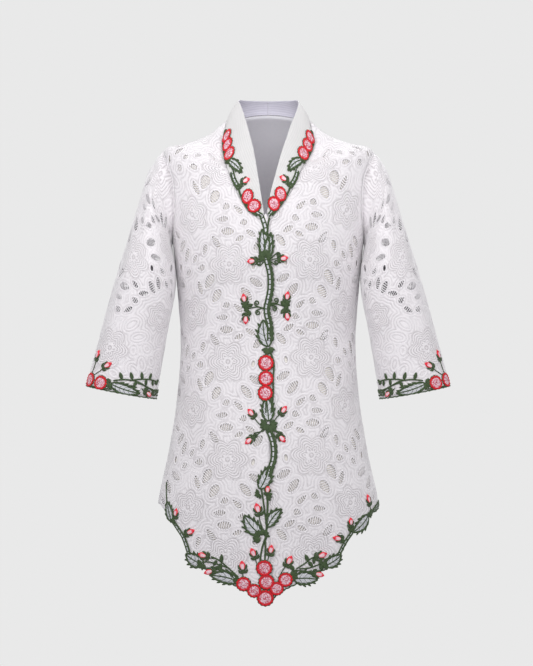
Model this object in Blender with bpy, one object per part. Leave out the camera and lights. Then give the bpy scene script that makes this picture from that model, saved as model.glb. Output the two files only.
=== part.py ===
"""Kebaya blouse in openwork lace over a lining, on the general figure it is worn on.

Units: the tables are in millimetres and are scaled to metres when a mesh is made.
+Z is up, the front faces -Y and the wearer's left is +X.  The origin is the middle of
the wearer's shoulder line, from which the blouse hangs.

Cloth coordinates.  A panel is drawn flat, as a maker drafts it: `across` is the distance
round the body from the centre front (or centre back) and `level` is the height on the
figure.  Each panel is triangulated flat, then carried onto the figure and given a wall.
"""

import math

import bmesh
import bpy
import numpy as np
from mathutils import Vector
from mathutils.geometry import delaunay_2d_cdt

MM = 0.001

# --- driving sizes (mm) -----------------------------------------------------------------
LACE = 1.2                 # wall of the lace
LINING = 1.0               # wall of the lining
LINING_SPACE = 4.4         # the lining hangs this far inside the lace
LINING_SEAM = 0.8          # and this far inside it at the seams that hold both
BAND = 1.6                 # wall of the collar band at its free edge
SEAM = 0.3                 # space between two pieces at a seam
APPLIQUE_SPACE = 1.0       # space between a panel and the embroidery on it
APPLIQUE = 1.1             # wall of a stem or leaf
FLOWER_RISE = 1.3          # extra height in the middle of a flower
BUD_RISE = 0.8             # extra height in the middle of a bud
UNDERLAP = 8.0             # the left front runs this far past the centre, under the right
UNDERLAP_DROP = 2.4        # how far it lies below the right front there
FRONT_EDGE = 3.0           # the right front ends this far past the centre
LINING_SHORT = 11.0        # the right lining stops this far short of the centre
LINING_HEM = 12.0          # the lining ends this far above the lace

# --- the figure: one row for each ring of the body --------------------------------------
# level, half width, front depth, back depth, height at centre front, at side, at centre back
BODY = (
    (-900, 205, 112, 116, -900, -900, -900),
    (-800, 207, 117, 121, -800, -800, -800),
    (-690, 203, 122, 127, -690, -690, -690),
    (-600, 184, 122, 127, -600, -600, -600),
    (-500, 168, 114, 117, -500, -500, -500),
    (-396, 161, 107, 104, -396, -396, -396),
    (-310, 166, 116, 104, -310, -310, -310),
    (-235, 173, 130, 110, -235, -235, -235),
    (-170, 181, 128, 115, -170, -166, -170),
    (-110, 190, 112, 114, -112, -96, -110),
    (-70, 193, 98, 106, -86, -39, -66),
    (-28, 150, 86, 92, -74, -25, -20),
    (12, 108, 74, 76, -63, -8, 14),
    (50, 77, 62, 58, -50, 18, 36),
)
ROUND_EVEN = 0.06          # evens out the spacing of points round an oval ring

# --- soft creases of the worn body: across, level, length, width, depth, turn (degrees) --
CREASES = (
    (-122, -206, 120, 64, 2.8, 58),
    (126, -202, 116, 60, 2.6, -56),
    (-100, -410, 150, 66, 2.2, 84),
    (108, -424, 160, 70, 2.4, -82),
    (-150, -580, 210, 70, 3.0, 88),
    (144, -600, 190, 72, 2.8, -88),
)

# --- edges of the front panels: height, then the distance from the middle on each side ---
# the neck seam, from the shoulder to the foot of the neck opening
NECK_SEAM = (
    # height, wearer's right, wearer's left
    (18, 77, 77),
    (-2, 80, 80),
    (-24, 84, 85),
    (-50, 82, 78),
    (-79, 74, 61),
    (-106, 63, 49),
    (-137, 49, 32),
    (-158, 36, 17),
    (-173, 14, 3),
)
# the free edge of the collar band that faces each of those points, and its depth
NECK_EDGE = (
    # height, wearer's right, wearer's left, forward
    (50, 52, 56, 4),
    (30, 45, 51, 28),
    (8, 39, 42, 48),
    (-18, 32, 34, 67),
    (-50, 25, 23.5, 86),
    (-84, 19.5, 14.5, 103),
    (-118, 14, 5.5, 117),
    (-145, 10, 0, 126),
    (-163, 7, -2.5, 130),
)
# the back stand of the collar: turn round the neck ring from the centre back (degrees),
# then its free edge: distance from the middle, back, height
BACK_STAND = (
    (0, 0, 51, 61),
    (24, 26, 46, 61),
    (46, 45, 32, 60),
    (68, 54, 14, 58),
    (90, 54, -4, 50),
)
NECK_STEPS = 15            # points of the neck seam from the shoulder to the foot
STAND_STEPS = 7            # and from the shoulder to the centre back
# the hem of the fronts: height, then the distance from the middle on each side
FRONT_HEM = (
    # height, wearer's right, wearer's left
    (-863, 4, 4),
    (-850, 19, 11),
    (-839, 38, 25),
    (-830, 58, 42),
    (-822, 73, 62),
    (-810, 96, 83),
    (-798, 118, 108),
    (-784, 138, 125),
    (-764, 147, 136),
    (-742, 157, 149),
    (-726, 168, 170),
    (-708, 182, 188),
)
SHOULDER_TOP = 49.6        # level at which the shoulder seams and the back neck end
SIDE_HEM = -690            # level of the hem at the side seams
BACK_HEM = -715            # level of the hem at the centre back

# --- armholes: an oval seen from the side -----------------------------------------------
ARMHOLE = {"back": 2.0, "height": -122.0, "half_depth": 50.0, "half_height": 83.0}
ARMHOLE_TURNS = np.linspace(0, math.pi, 11)    # shared by the armhole and the sleeve head

# --- sleeves: one row for each ring, wearer's left --------------------------------------
# along, outer x, outer z, inner x, inner z, forward, half depth
SLEEVE = (
    (14, 205, -50, 177, -207, 0, 57),
    (42, 221, -78, 178, -216, 6, 64),
    (84, 233, -118, 175, -232, 18, 69),
    (134, 248, -170, 171, -256, 30, 71),
    (186, 263, -220, 170, -288, 38, 70),
    (246, 281, -279, 176, -330, 42, 67),
    (304, 297, -336, 185, -374, 43, 64),
    (362, 312, -393, 193, -420, 43, 61),
    (430, 330, -458, 203, -482, 42, 61),
    (446, 334, -473, 205, -497, 42, 61),
)
SLEEVE_ROUND = 62.0        # mean radius by which a turn on the sleeve becomes a distance
SLEEVE_WHOLE = 300.0       # past this distance along, the lace of a sleeve has no wide gaps

# --- one repeat of the lace: gaps cut through between the bands -------------------------
# across, up, length, width, turn (degrees), taper of one end
REPEAT_WIDE = 160.0
REPEAT_HIGH = 176.0
GAPS = (
    (-38, -31, 28, 16, 62, 0.3),
    (-23, -57, 25, 15, 58, 0.2),
    (-4, -74, 13, 10, 30, 0.4),
    (19, -79, 20, 8, -42, 0.5),
    (34, -54, 28, 13, -50, 0.0),
    (52, -33, 26, 12, -28, 0.0),
    (-12, -96, 21, 9, 5, 0.3),
    (-3, -118, 24, 13, 0, 0.0),
    (28, -102, 13, 10, 20, 0.5),
    (-26, -136, 24, 9, -50, 0.2),
    (42, -122, 20, 9, -30, 0.0),
    (56, -142, 24, 12, 50, 0.0),
    (-50, 26, 18, 9, 75, 0.4),
    (-28, 38, 18, 7, -55, 0.2),
    (-57, -6, 15, 10, 10, 0.5),
    (-72, 10, 14, 8, 60, 0.0),
    (72, -14, 13, 9, 40, 0.4),
    (47, -4, 12, 6, 80, 0.0),
    (68, 18, 24, 10, 70, 0.1),
    (20, 45, 16, 8, 25, 0.3),
    (-57, -42, 24, 9, -70, 0.1),
)
GAP_CUT_FROM = 23.5        # the solids cut the gaps at least this long
GAP_POINTS = 5             # corners of a gap in the solids
GAP_MARGIN = 9.0           # lace left whole along an edge

# --- embroidery on the fronts, as seen from the front -----------------------------------
# flowers: x, z, radius
VINE_FLOWERS = ((-4, -430, 14), (-4, -458, 14), (-5, -484, 14))
TIP_FLOWERS = (
    (-7, -798, 13.5),
    (-3, -823, 13.5),
    (-5, -851, 13.5),
    (-44, -827, 12.5),
    (-25, -839, 12.5),
    (15, -835, 12.5),
    (31, -819, 12.5),
)
# the stems: width, then the points the stem passes through
VINE_STEMS = (
    (9.0, ((-4, -176), (-3, -200), (-3, -250), (2, -283), (1, -308), (-3, -332), (1, -372),
           (-4, -430), (-5, -484), (-1, -515), (-1, -548), (6, -572), (9, -590), (6, -612),
           (-4, -640), (-6, -680), (-5, -740), (-9, -798), (-4, -848))),
)
# leaves: root x, root z, tip x, tip z, width
VINE_LEAVES = (
    (-3, -244, -10, -186, 20),
    (-3, -244, 4, -196, 14),
    (0, -402, -9, -354, 28),
    (1, -536, -3, -496, 25),
    (-15, -656, 2, -616, 25),
    (-8, -742, -43, -704, 26),
    (-2, -724, 24, -692, 20),
)
# buds: root x, root z, middle of the bud x, z
VINE_BUDS = (
    (-5, -244, -31, -246), (-2, -240, 27, -243),
    (-3, -330, -41, -314), (-3, -330, -38, -352), (-4, -330, 34, -308), (-4, -330, 33, -347),
    (-2, -535, -29, -522), (-2, -540, -34, -567), (0, -535, 24, -516), (-1, -540, 27, -561),
    (-6, -728, -19, -691), (-5, -690, -1, -660),
)
HEM_STEMS = (
    (4.0, ((-44, -824), (-78, -808), (-106, -804), (-132, -786), (-146, -764), (-160, -738),
           (-177, -712), (-184, -694))),
    (4.0, ((31, -817), (56, -806), (84, -804), (108, -794), (127, -780), (142, -752),
           (158, -734), (184, -707))),
)
HEM_LEAVES = (
    (-50, -823, -103, -814, 25),
    (-116, -794, -149, -778, 26),
    (-174, -720, -185, -688, 19),
    (41, -818, 88, -820, 26),
    (102, -796, 132, -777, 22),
    (182, -710, 152, -737, 23),
    (174, -714, 202, -690, 13),
)
HEM_BUDS = (
    (-44, -816, -45, -794), (-27, -836, -28, -772), (-78, -808, -108, -794),
    (-70, -812, -104, -816), (-104, -806, -118, -776), (-146, -764, -140, -732),
    (-160, -738, -166, -706),
    (31, -812, 36, -786), (15, -832, 18, -772), (56, -806, 92, -778), (70, -808, 86, -800),
    (127, -780, 124, -744), (142, -752, 148, -724), (183, -708, 182, -680),
)

# --- embroidery on the collar: distance along the seam from the foot, in from the seam ---
COLLAR_FLOWERS = ((25, 14, 13.2), (48, 14, 13.2), (150, 14, 13.2), (173, 14, 12.6),
                  (194, 13.5, 12))
COLLAR_STEM = (4.0, ((6, 6), (25, 10), (48, 9), (72, 5), (100, 5), (128, 7), (150, 12), (173, 14),
                     (194, 14)))
COLLAR_LEAVES = ((138, 8, 101, 23, 18), (198, 10, 214, 5, 9))
COLLAR_BUDS = ((80, 6, 84, 24),)

# --- embroidery round a cuff: distance round from the outer fold, up from the edge -------
CUFF_FLOWERS = ((30, 14, 13.0), (60, 13, 13.0))
CUFF_STEM = (4.0, ((28, 12), (60, 10), (84, 14), (110, 12), (140, 12), (164, 10), (186, 10)))
CUFF_LEAVES = ((80, 15, 132, 9, 21), (136, 14, 150, 25, 12), (158, 10, 184, 17, 12))
CUFF_BUDS = ((30, 18, 34, 62), (32, 20, 66, 46), (98, 12, 110, 36), (148, 12, 152, 32))



COLOURS = {
    "lace": ((0.86, 0.84, 0.86), 0.75),
    "lining": ((0.75, 0.73, 0.74), 0.6),
    "band": ((0.87, 0.85, 0.86), 0.7),
    "embroidery": ((0.10, 0.17, 0.07), 0.5),
}


# ========================================================================================
# surfaces
# ========================================================================================

def smooth_column(level, levels, values):
    """Read a table column at any level with a smooth cubic through its rows."""
    level = np.clip(np.asarray(level, float), levels[0], levels[-1])
    row = np.clip(np.searchsorted(levels, level, side="right") - 1, 0, len(levels) - 2)
    slopes = np.gradient(values, levels)
    step = levels[row + 1] - levels[row]
    t = (level - levels[row]) / step
    return ((2 * t**3 - 3 * t**2 + 1) * values[row] + (t**3 - 2 * t**2 + t) * step * slopes[row]
            + (3 * t**2 - 2 * t**3) * values[row + 1] + (t**3 - t**2) * step * slopes[row + 1])


def read_rows(table, level):
    """All the columns of a table at a level, smoothly."""
    data = np.array(table, float)
    return [smooth_column(level, data[:, 0], data[:, column])
            for column in range(1, data.shape[1])]


def quarter_girth(level, front):
    """Length of a quarter of an oval ring: Ramanujan's rule for an ellipse."""
    half, ahead, behind = read_rows(BODY, level)[:3]
    deep = ahead if front else behind
    return math.pi / 4 * (3 * (half + deep) - np.sqrt((3 * half + deep) * (half + 3 * deep)))


def turn_of(share):
    """Turn round the ring for a share of the quarter girth, -1 to 1."""
    return math.pi / 2 * (share - ROUND_EVEN * np.sin(math.pi * share))


SHARES = np.linspace(-1, 1, 401)
TURNS = turn_of(SHARES)


def share_of(turn):
    """Share of the quarter girth for a turn round the ring: turn_of read backwards."""
    return np.interp(turn, TURNS, SHARES)


def figure(share, level, front):
    """Point of the figure: an oval ring whose height eases from its middle to its side."""
    half, ahead, behind, z_front, z_side, z_back = read_rows(BODY, level)
    turn = turn_of(share)
    deep = -ahead if front else behind
    z_mid = z_front if front else z_back
    return np.stack([half * np.sin(turn), deep * np.cos(turn),
                     z_side + (z_mid - z_side) * np.cos(turn) ** 2], axis=-1)


def crease_depth(across, level):
    """Soft troughs: a bell across each crease that dies out along its length."""
    depth = np.zeros_like(across)
    for at, height, length, width, deep, turn in CREASES:
        c, s = math.cos(math.radians(turn)), math.sin(math.radians(turn))
        u = (across - at) * c + (level - height) * s
        v = (level - height) * c - (across - at) * s
        depth = depth + deep * np.exp(-(v / (width / 2)) ** 2 - (u / (length / 2)) ** 2)
    return depth


def body_point(flat, out, front):
    """Carry flat points (across, level) onto the figure, `out` mm outside it."""
    across, level = flat[:, 0], flat[:, 1]
    share = across / quarter_girth(level, front)
    nudge, lift = 0.004, 0.8
    round_way = figure(share + nudge, level, front) - figure(share - nudge, level, front)
    up_way = figure(share, level + lift, front) - figure(share, level - lift, front)
    normal = np.cross(round_way, up_way)
    normal /= np.linalg.norm(normal, axis=1, keepdims=True)
    if not front:
        normal = -normal
    out = out - crease_depth(across, level) if front else out
    return figure(share, level, front) + normal * np.reshape(out, (-1, 1))


def drop_under(across):
    """How far the left front lies below the right front at a distance from the middle."""
    t = np.clip((22.0 - across) / 16.0, 0, 1)
    return UNDERLAP_DROP * t * t * (3 - 2 * t)


def flat_from_view(x, z, front=True):
    """Flat point of the panel that is seen at x, z from the front: level by halving."""
    x, z = np.asarray(x, float), np.asarray(z, float)
    low = np.full(x.shape, -899.0)
    high = np.full(x.shape, 49.9)
    for _ in range(40):
        level = (low + high) / 2
        half, _, _, z_front, z_side, z_back = read_rows(BODY, level)
        sine = np.clip(x / half, -1, 1)
        seen = z_side + ((z_front if front else z_back) - z_side) * (1 - sine**2)
        low = np.where(seen < z, level, low)
        high = np.where(seen < z, high, level)
    share = share_of(np.arcsin(np.clip(x / read_rows(BODY, level)[0], -1, 1)))
    return np.stack([share * quarter_girth(level, front), level], axis=-1)


def flat_from_side(y, z, front):
    """Flat point of the panel that is seen at y, z from the side."""
    low, high = np.full(y.shape, -300.0), np.full(y.shape, -60.0)
    for _ in range(40):
        level = (low + high) / 2
        _, ahead, behind, z_front, z_side, z_back = read_rows(BODY, level)
        cosine = np.clip(-y / ahead if front else y / behind, 0, 1)
        seen = z_side + ((z_front if front else z_back) - z_side) * cosine**2
        low = np.where(seen < z, level, low)
        high = np.where(seen < z, high, level)
    turn = np.arccos(cosine)
    return np.stack([share_of(turn) * quarter_girth(level, front), level], axis=-1)


def armhole_flat(phi, shrink):
    """Armhole at a turn phi from its top (front at +90 degrees), on the left side, flat.

    The oval is made smaller by `shrink` mm."""
    y = ARMHOLE["back"] - (ARMHOLE["half_depth"] - shrink) * np.sin(phi)
    z = ARMHOLE["height"] + (ARMHOLE["half_height"] - shrink) * np.cos(phi)
    ahead = y < 0
    front = flat_from_side(np.minimum(y, 0), z, True)
    back = flat_from_side(np.maximum(y, 0), z, False)
    return front, back, ahead


def armhole_point(phi, shrink, out):
    """Armhole edge in space, on the wearer's left."""
    front, back, ahead = armhole_flat(phi, shrink)
    return np.where(ahead[:, None], body_point(front, out, True), body_point(back, out, False))


def sleeve_point(flat, out, side):
    """Carry flat points (round, along) onto a sleeve; round is 0 on its outer fold.

    Each ring is an oval between the outer and inner rows of the table; before the first
    ring the wall runs from the armhole edge.  The front half has round above 0."""
    phi = flat[:, 0] / SLEEVE_ROUND
    along = flat[:, 1]
    first = SLEEVE[0][0]
    ox, oz, ix, iz, ahead, half_deep = read_rows(SLEEVE, np.maximum(along, first))
    reach = np.hypot(ox - ix, oz - iz) / 2
    way = np.stack([(ox - ix) / (2 * reach), np.zeros_like(ox), (oz - iz) / (2 * reach)], axis=-1)
    middle = np.stack([(ox + ix) / 2, -ahead, (oz + iz) / 2], axis=-1)
    grow = np.asarray(out, float) - LACE
    ring = (middle + way * ((reach + grow) * np.cos(phi))[:, None]
            + np.array([0, -1, 0]) * ((half_deep + grow) * np.sin(phi))[:, None])
    start = along < first
    if start.any():
        # round its lower part the sleeve stands up from the edge instead of running on flat
        stand = np.clip(np.abs(phi) / 0.9, 0, 1)
        stand = stand * stand * (3 - 2 * stand)
        tuck = (LACE - np.minimum(out, LACE)) * stand
        edge = armhole_point(phi, SEAM + tuck, out + tuck)
        share = np.clip(along / first, 0, 1)[:, None]
        ring = np.where(start[:, None], edge * (1 - share) + ring * share, ring)
    return ring * np.array([side, 1, 1])


def spline(points, count):
    """Smooth curve through the given points (Catmull-Rom), with `count` even steps."""
    points = np.array(points, float)
    chord = np.linalg.norm(np.diff(points, axis=0), axis=1)
    places = np.concatenate([[0], np.cumsum(chord)])
    at = np.linspace(0, places[-1], count)
    return np.stack([smooth_column(at, places, points[:, k])
                     for k in range(points.shape[1])], axis=-1)


def neck_seam_view(side):
    """The neck seam of a front as seen from the front, from the shoulder to its foot."""
    rows = np.array(NECK_SEAM, float)
    return spline(rows[:, (1 if side < 0 else 2, 0)] * np.array([side, 1]), NECK_STEPS)


def stand_rows():
    """The back stand from the centre back to the shoulder: turn (radians) and free edge."""
    rows = spline(BACK_STAND, STAND_STEPS)
    return np.radians(rows[:, 0]), rows[:, 1:]


def collar_rails(side):
    """The two edges of a collar half, from its foot to the centre back, in space."""
    view = neck_seam_view(side)
    flat = flat_from_view(view[:, 0], view[:, 1])
    dip = drop_under(flat[:, 0]) if side > 0 else np.zeros(len(flat))
    seam_front = body_point(flat, -dip, True)
    rows = np.array(NECK_EDGE, float)
    edge_front = spline(rows[:, (1 if side < 0 else 2, 3, 0)], NECK_STEPS)
    edge_front[:, 1] -= dip
    turn, edge_back = stand_rows()
    level = np.full(len(turn), BODY[-1][0], float)
    seam_back = figure(share_of(turn), level, False)
    mirror = np.array([side, 1, 1])
    seam = np.vstack([seam_front[::-1], seam_back[-2::-1] * mirror])
    edge = np.vstack([edge_front[::-1] * np.array([side, -1, 1]), edge_back[-2::-1] * mirror])
    return seam, edge


COLLAR_RAILS = {side: collar_rails(side) for side in (-1, 1)}
COLLAR_PLACES = {}
for side, (seam, edge) in COLLAR_RAILS.items():
    chords = np.linalg.norm(np.diff(seam + edge, axis=0), axis=1) / 2
    COLLAR_PLACES[side] = np.concatenate([[0], np.cumsum(chords)])


def on_rail(side, rail, along):
    """Point at a distance along one edge of a collar half: 0 is its seam, 1 its free edge."""
    places = COLLAR_PLACES[side]
    return np.stack([smooth_column(along, places, COLLAR_RAILS[side][rail][:, k])
                     for k in range(3)], axis=-1)


def collar_point(flat, out, side):
    """Carry flat points (along, in from the seam) onto the collar band.

    A ruled strip between the seam and the free edge, arched a little outwards."""
    end = COLLAR_PLACES[side][-1]
    along = np.clip(flat[:, 0], 0, end)
    low, high = on_rail(side, 0, along), on_rail(side, 1, along)
    share = flat[:, 1] / np.linalg.norm(high - low, axis=1)
    nudge = 2.0
    after, before = np.clip(along + nudge, 0, end), np.clip(along - nudge, 0, end)
    run = (on_rail(side, 0, after) - on_rail(side, 0, before)
           + on_rail(side, 1, after) - on_rail(side, 1, before))
    # at the centre back the band runs straight across, so its two halves meet squarely
    ease = np.clip((end - along) / 20.0, 0, 1)
    run = run * np.stack([np.ones_like(ease), ease, ease], axis=-1)
    over = (high - low) * np.stack([ease, np.ones_like(ease), np.ones_like(ease)], axis=-1)
    normal = np.cross(run, over) * side
    normal /= np.linalg.norm(normal, axis=1, keepdims=True)
    arch = 3.0 * 4 * share * (1 - share) * np.clip(along / 60.0, 0, 1)
    return low + (high - low) * share[:, None] + normal * (arch + out)[:, None]


# ========================================================================================
# flat drafting
# ========================================================================================

def inside(points, polygon):
    """Which points lie inside a polygon: crossings of a ray to the right."""
    x, y = points[:, 0][:, None], points[:, 1][:, None]
    ax, ay = polygon[:, 0], polygon[:, 1]
    bx, by = np.roll(ax, -1), np.roll(ay, -1)
    straddles = (ay > y) != (by > y)
    with np.errstate(divide="ignore", invalid="ignore"):
        crossing = ax + (y - ay) * (bx - ax) / (by - ay)
    return (straddles & (x < crossing)).sum(axis=1) % 2 == 1


def distance(points, polygon):
    """Distance from each point to the nearest side of a closed polygon."""
    a = polygon
    b = np.roll(polygon, -1, axis=0)
    run = b - a
    length2 = np.maximum((run**2).sum(axis=1), 1e-9)
    rel = points[:, None, :] - a[None]
    t = np.clip((rel * run).sum(axis=2) / length2, 0, 1)
    return np.linalg.norm(rel - t[..., None] * run, axis=2).min(axis=1)


def gap_outline(length, width, turn, taper, points):
    """Outline of a gap: a pointed oval, fuller towards one end."""
    t = np.arange(points) * 2 * math.pi / points
    x = length / 2 * np.cos(t)
    y = width / 2 * np.sign(np.sin(t)) * np.abs(np.sin(t)) ** 1.1 * (1 + taper * np.cos(t))
    c, s = math.cos(math.radians(turn)), math.sin(math.radians(turn))
    return np.stack([x * c - y * s, x * s + y * c], axis=-1)


def lace_gaps(outline, origin, mirror, keep_above=-1e9, margin=GAP_MARGIN):
    """Gaps of the repeat that lie whole inside a panel, clear of its edge."""
    low, high = outline.min(axis=0), outline.max(axis=0)
    found = []
    for across, up, length, width, turn, taper in GAPS:
        if length < GAP_CUT_FROM:
            continue
        shape = gap_outline(length, width, turn, taper, GAP_POINTS)
        for column in range(-4, 5):
            for row in range(-7, 8):
                centre = np.array([across + column * REPEAT_WIDE, up + row * REPEAT_HIGH])
                polygon = (shape + centre) * np.array([mirror, 1]) + origin
                if (polygon < low).any() or (polygon > high).any():
                    continue
                if polygon[:, 1].min() < keep_above:
                    continue
                if inside(polygon, outline).all() and distance(polygon, outline).min() > margin:
                    found.append(polygon)
    return found


def even_line(points, step):
    """Points along a broken line, about `step` apart, keeping its corners."""
    points = np.array(points, float)
    out = [points[:1]]
    for a, b in zip(points[:-1], points[1:]):
        count = max(1, round(float(np.linalg.norm(b - a)) / step))
        out.append(a + (b - a) * (np.arange(1, count + 1) / count)[:, None])
    return np.vstack(out)


def fill_points(outline, holes, step, clear):
    """Staggered rows of points inside an outline, `clear` mm from every edge."""
    low, high = outline.min(axis=0), outline.max(axis=0)
    rows = []
    for k, y in enumerate(np.arange(low[1], high[1], step[1])):
        xs = np.arange(low[0] + (k % 2) * step[0] / 2, high[0], step[0])
        rows.append(np.stack([xs, np.full(len(xs), y)], axis=-1))
    points = np.vstack(rows)
    points = points[inside(points, outline) & (distance(points, outline) > clear)]
    for hole in holes:
        if len(points):
            points = points[(distance(points, hole) > clear) & ~inside(points, hole)]
    return points


def triangulate(solids, holes, extra):
    """Flat triangles of the union of `solids`, less `holes`, with the extra points in it."""
    loops = list(solids) + list(holes)
    points, edges = [], []
    for loop in loops:
        first = len(points)
        points.extend(Vector(p) for p in loop)
        edges.extend((first + k, first + (k + 1) % len(loop)) for k in range(len(loop)))
    points.extend(Vector(p) for p in extra)
    verts, _, faces, _, _, _ = delaunay_2d_cdt(points, edges, [], 0, 1e-3)
    verts = np.array([tuple(v) for v in verts])
    faces = np.array(faces)
    middles = verts[faces].mean(axis=1)
    keep = np.zeros(len(faces), bool)
    for loop in solids:
        keep |= inside(middles, np.asarray(loop))
    for loop in holes:
        keep &= ~inside(middles, np.asarray(loop))
    faces = faces[keep]
    used, index = np.unique(faces, return_inverse=True)
    return verts[used], index.reshape(-1, 3)


def refined(solids, holes, extra, place, sag, rims=False, rounds=3):
    """Flat triangles, with points added until their edges lie within `sag` of the surface.

    The outline itself is only divided if `rims` is set: at a seam both pieces share it."""
    extra = [np.asarray(point, float) for point in extra]
    for _ in range(rounds):
        flat, faces = triangulate(solids, holes, extra)
        ends = np.vstack([faces[:, (0, 1)], faces[:, (1, 2)], faces[:, (2, 0)]])
        ends, uses = np.unique(np.sort(ends, axis=1), axis=0, return_counts=True)
        ends = ends if rims else ends[uses == 2]
        middles = flat[ends].mean(axis=1)
        points = place(flat, np.zeros(len(flat)))
        off = np.linalg.norm(place(middles, np.zeros(len(middles))) - points[ends].mean(axis=1),
                             axis=1)
        order = np.argsort(-off)
        added = []
        for k in order[off[order] > sag]:
            clear = 0.45 * np.linalg.norm(np.subtract(*flat[ends[k]]))
            if all(np.linalg.norm(middles[k] - other) > clear for other in added):
                added.append(middles[k])
        if not added:
            break
        extra.extend(added)
    return triangulate(solids, holes, extra)


def wall(name, colour, flat, faces, place, outer, inner):
    """Closed wall over a flat triangulation: outer face, inner face and its edges."""
    top = place(flat, np.broadcast_to(np.asarray(outer, float), (len(flat),)))
    under = place(flat, np.broadcast_to(np.asarray(inner, float), (len(flat),)))
    sides = {}
    for a, b, c in faces.tolist():
        for edge in ((a, b), (b, c), (c, a)):
            sides[edge] = True
    rim = [edge for edge in sides if (edge[1], edge[0]) not in sides]
    count = len(flat)
    polygons = [(a, b, c) for a, b, c in faces.tolist()]
    polygons += [(c + count, b + count, a + count) for a, b, c in faces.tolist()]
    for a, b in rim:
        polygons += [(b, a, a + count), (b, a + count, b + count)]
    mesh = bpy.data.meshes.new(name)
    mesh.from_pydata((np.vstack([top, under]) * MM).tolist(), [], polygons)
    shape = bmesh.new()
    shape.from_mesh(mesh)
    bmesh.ops.recalc_face_normals(shape, faces=shape.faces)
    shape.to_mesh(mesh)
    shape.free()
    mesh.materials.append(MATERIALS[colour])
    piece = bpy.data.objects.new(name, mesh)
    bpy.context.scene.collection.objects.link(piece)
    return piece


# ========================================================================================
# motifs of the embroidery, flat
# ========================================================================================

def disc(x, y, radius, points=8):
    """A flower: a regular polygon."""
    t = (np.arange(points) + 0.5) * 2 * math.pi / points
    return np.stack([x + radius * np.cos(t), y + radius * np.sin(t)], axis=-1)


def along_axis(root, tip, profile):
    """Closed outline about an axis from pairs (share of the length, half width)."""
    root, tip = np.asarray(root, float), np.asarray(tip, float)
    run = tip - root
    side = np.array([-run[1], run[0]]) / max(np.linalg.norm(run), 1e-6)
    left = [root + run * s + side * w for s, w in profile]
    right = [root + run * s - side * w for s, w in reversed(profile) if w > 0]
    return np.array(left + right)


def leaf(root, tip, width):
    """A leaf: full below its middle, pointed at its tip."""
    half = width / 2
    return along_axis(root, tip, ((0, 1.4), (0.3, half), (0.65, half * 0.8), (1, 0)))


def bud(root, middle):
    """A bud with its calyx and stalk: stalk, calyx, then a pointed oval."""
    root, middle = np.asarray(root, float), np.asarray(middle, float)
    reach = max(np.linalg.norm(middle - root), 1e-6)
    way = (middle - root) / reach
    tip = middle + way * 8.0
    length = reach + 8.0
    neck = max(0.1, (reach - 9.0) / length)
    return along_axis(root, tip, ((0, 1.1), (neck, 1.1), ((reach - 3.0) / length, 5.6), (1, 0)))


def ribbon(points, width, step=30.0):
    """A stem: a strip of even width along a smooth curve."""
    points = np.array(points, float)
    length = np.linalg.norm(np.diff(points, axis=0), axis=1).sum()
    line = spline(points, max(4, round(length / step) + 1))
    run = np.gradient(line, axis=0)
    side = np.stack([-run[:, 1], run[:, 0]], axis=-1)
    side /= np.linalg.norm(side, axis=1, keepdims=True)
    return np.vstack([line + side * width / 2, (line - side * width / 2)[::-1]])


def applique(name, colour, place, lift, stems=(), leaves=(), buds=(), flowers=(), clip=None):
    """Embroidery as one raised solid: the union of its motifs, domed at flowers and buds."""
    shapes = [ribbon(points, width) for width, points in stems]
    shapes += [leaf(row[0:2], row[2:4], row[4]) for row in leaves]
    shapes += [bud(row[0:2], row[2:4]) for row in buds]
    shapes += [disc(*row) for row in flowers]
    tops = [row[0:2] for row in flowers]
    flat, faces = refined(shapes, (), tops, place, APPLIQUE_SAG, rims=True)
    rise = np.full(len(flat), APPLIQUE)
    for x, y, radius in flowers:
        near = np.hypot(flat[:, 0] - x, flat[:, 1] - y) / radius
        rise = np.maximum(rise, APPLIQUE + FLOWER_RISE * np.clip(1.25 - near, 0, 1))
    for row in buds:
        near = np.hypot(flat[:, 0] - row[2], flat[:, 1] - row[3]) / 7.0
        rise = np.maximum(rise, APPLIQUE + BUD_RISE * np.clip(1.2 - near, 0, 1))
    return wall(name, colour, flat, faces, place, lift + rise, lift)


def flat_rows(rows):
    """Front-view rows (pairs of x, z, then sizes) as cloth coordinates."""
    result = []
    for row in rows:
        out = []
        pairs = 2 if len(row) >= 4 else 1
        for k in range(pairs):
            out.extend(flat_from_view(np.array([row[2 * k]]), np.array([row[2 * k + 1]]))[0])
        out.extend(row[2 * pairs:])
        result.append(tuple(float(v) for v in out))
    return result


def flat_stems(stems):
    """Front-view stems as cloth coordinates."""
    return [(width, [flat_from_view(np.array([x]), np.array([z]))[0] for x, z in points])
            for width, points in stems]


# ========================================================================================
# panels
# ========================================================================================

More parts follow.
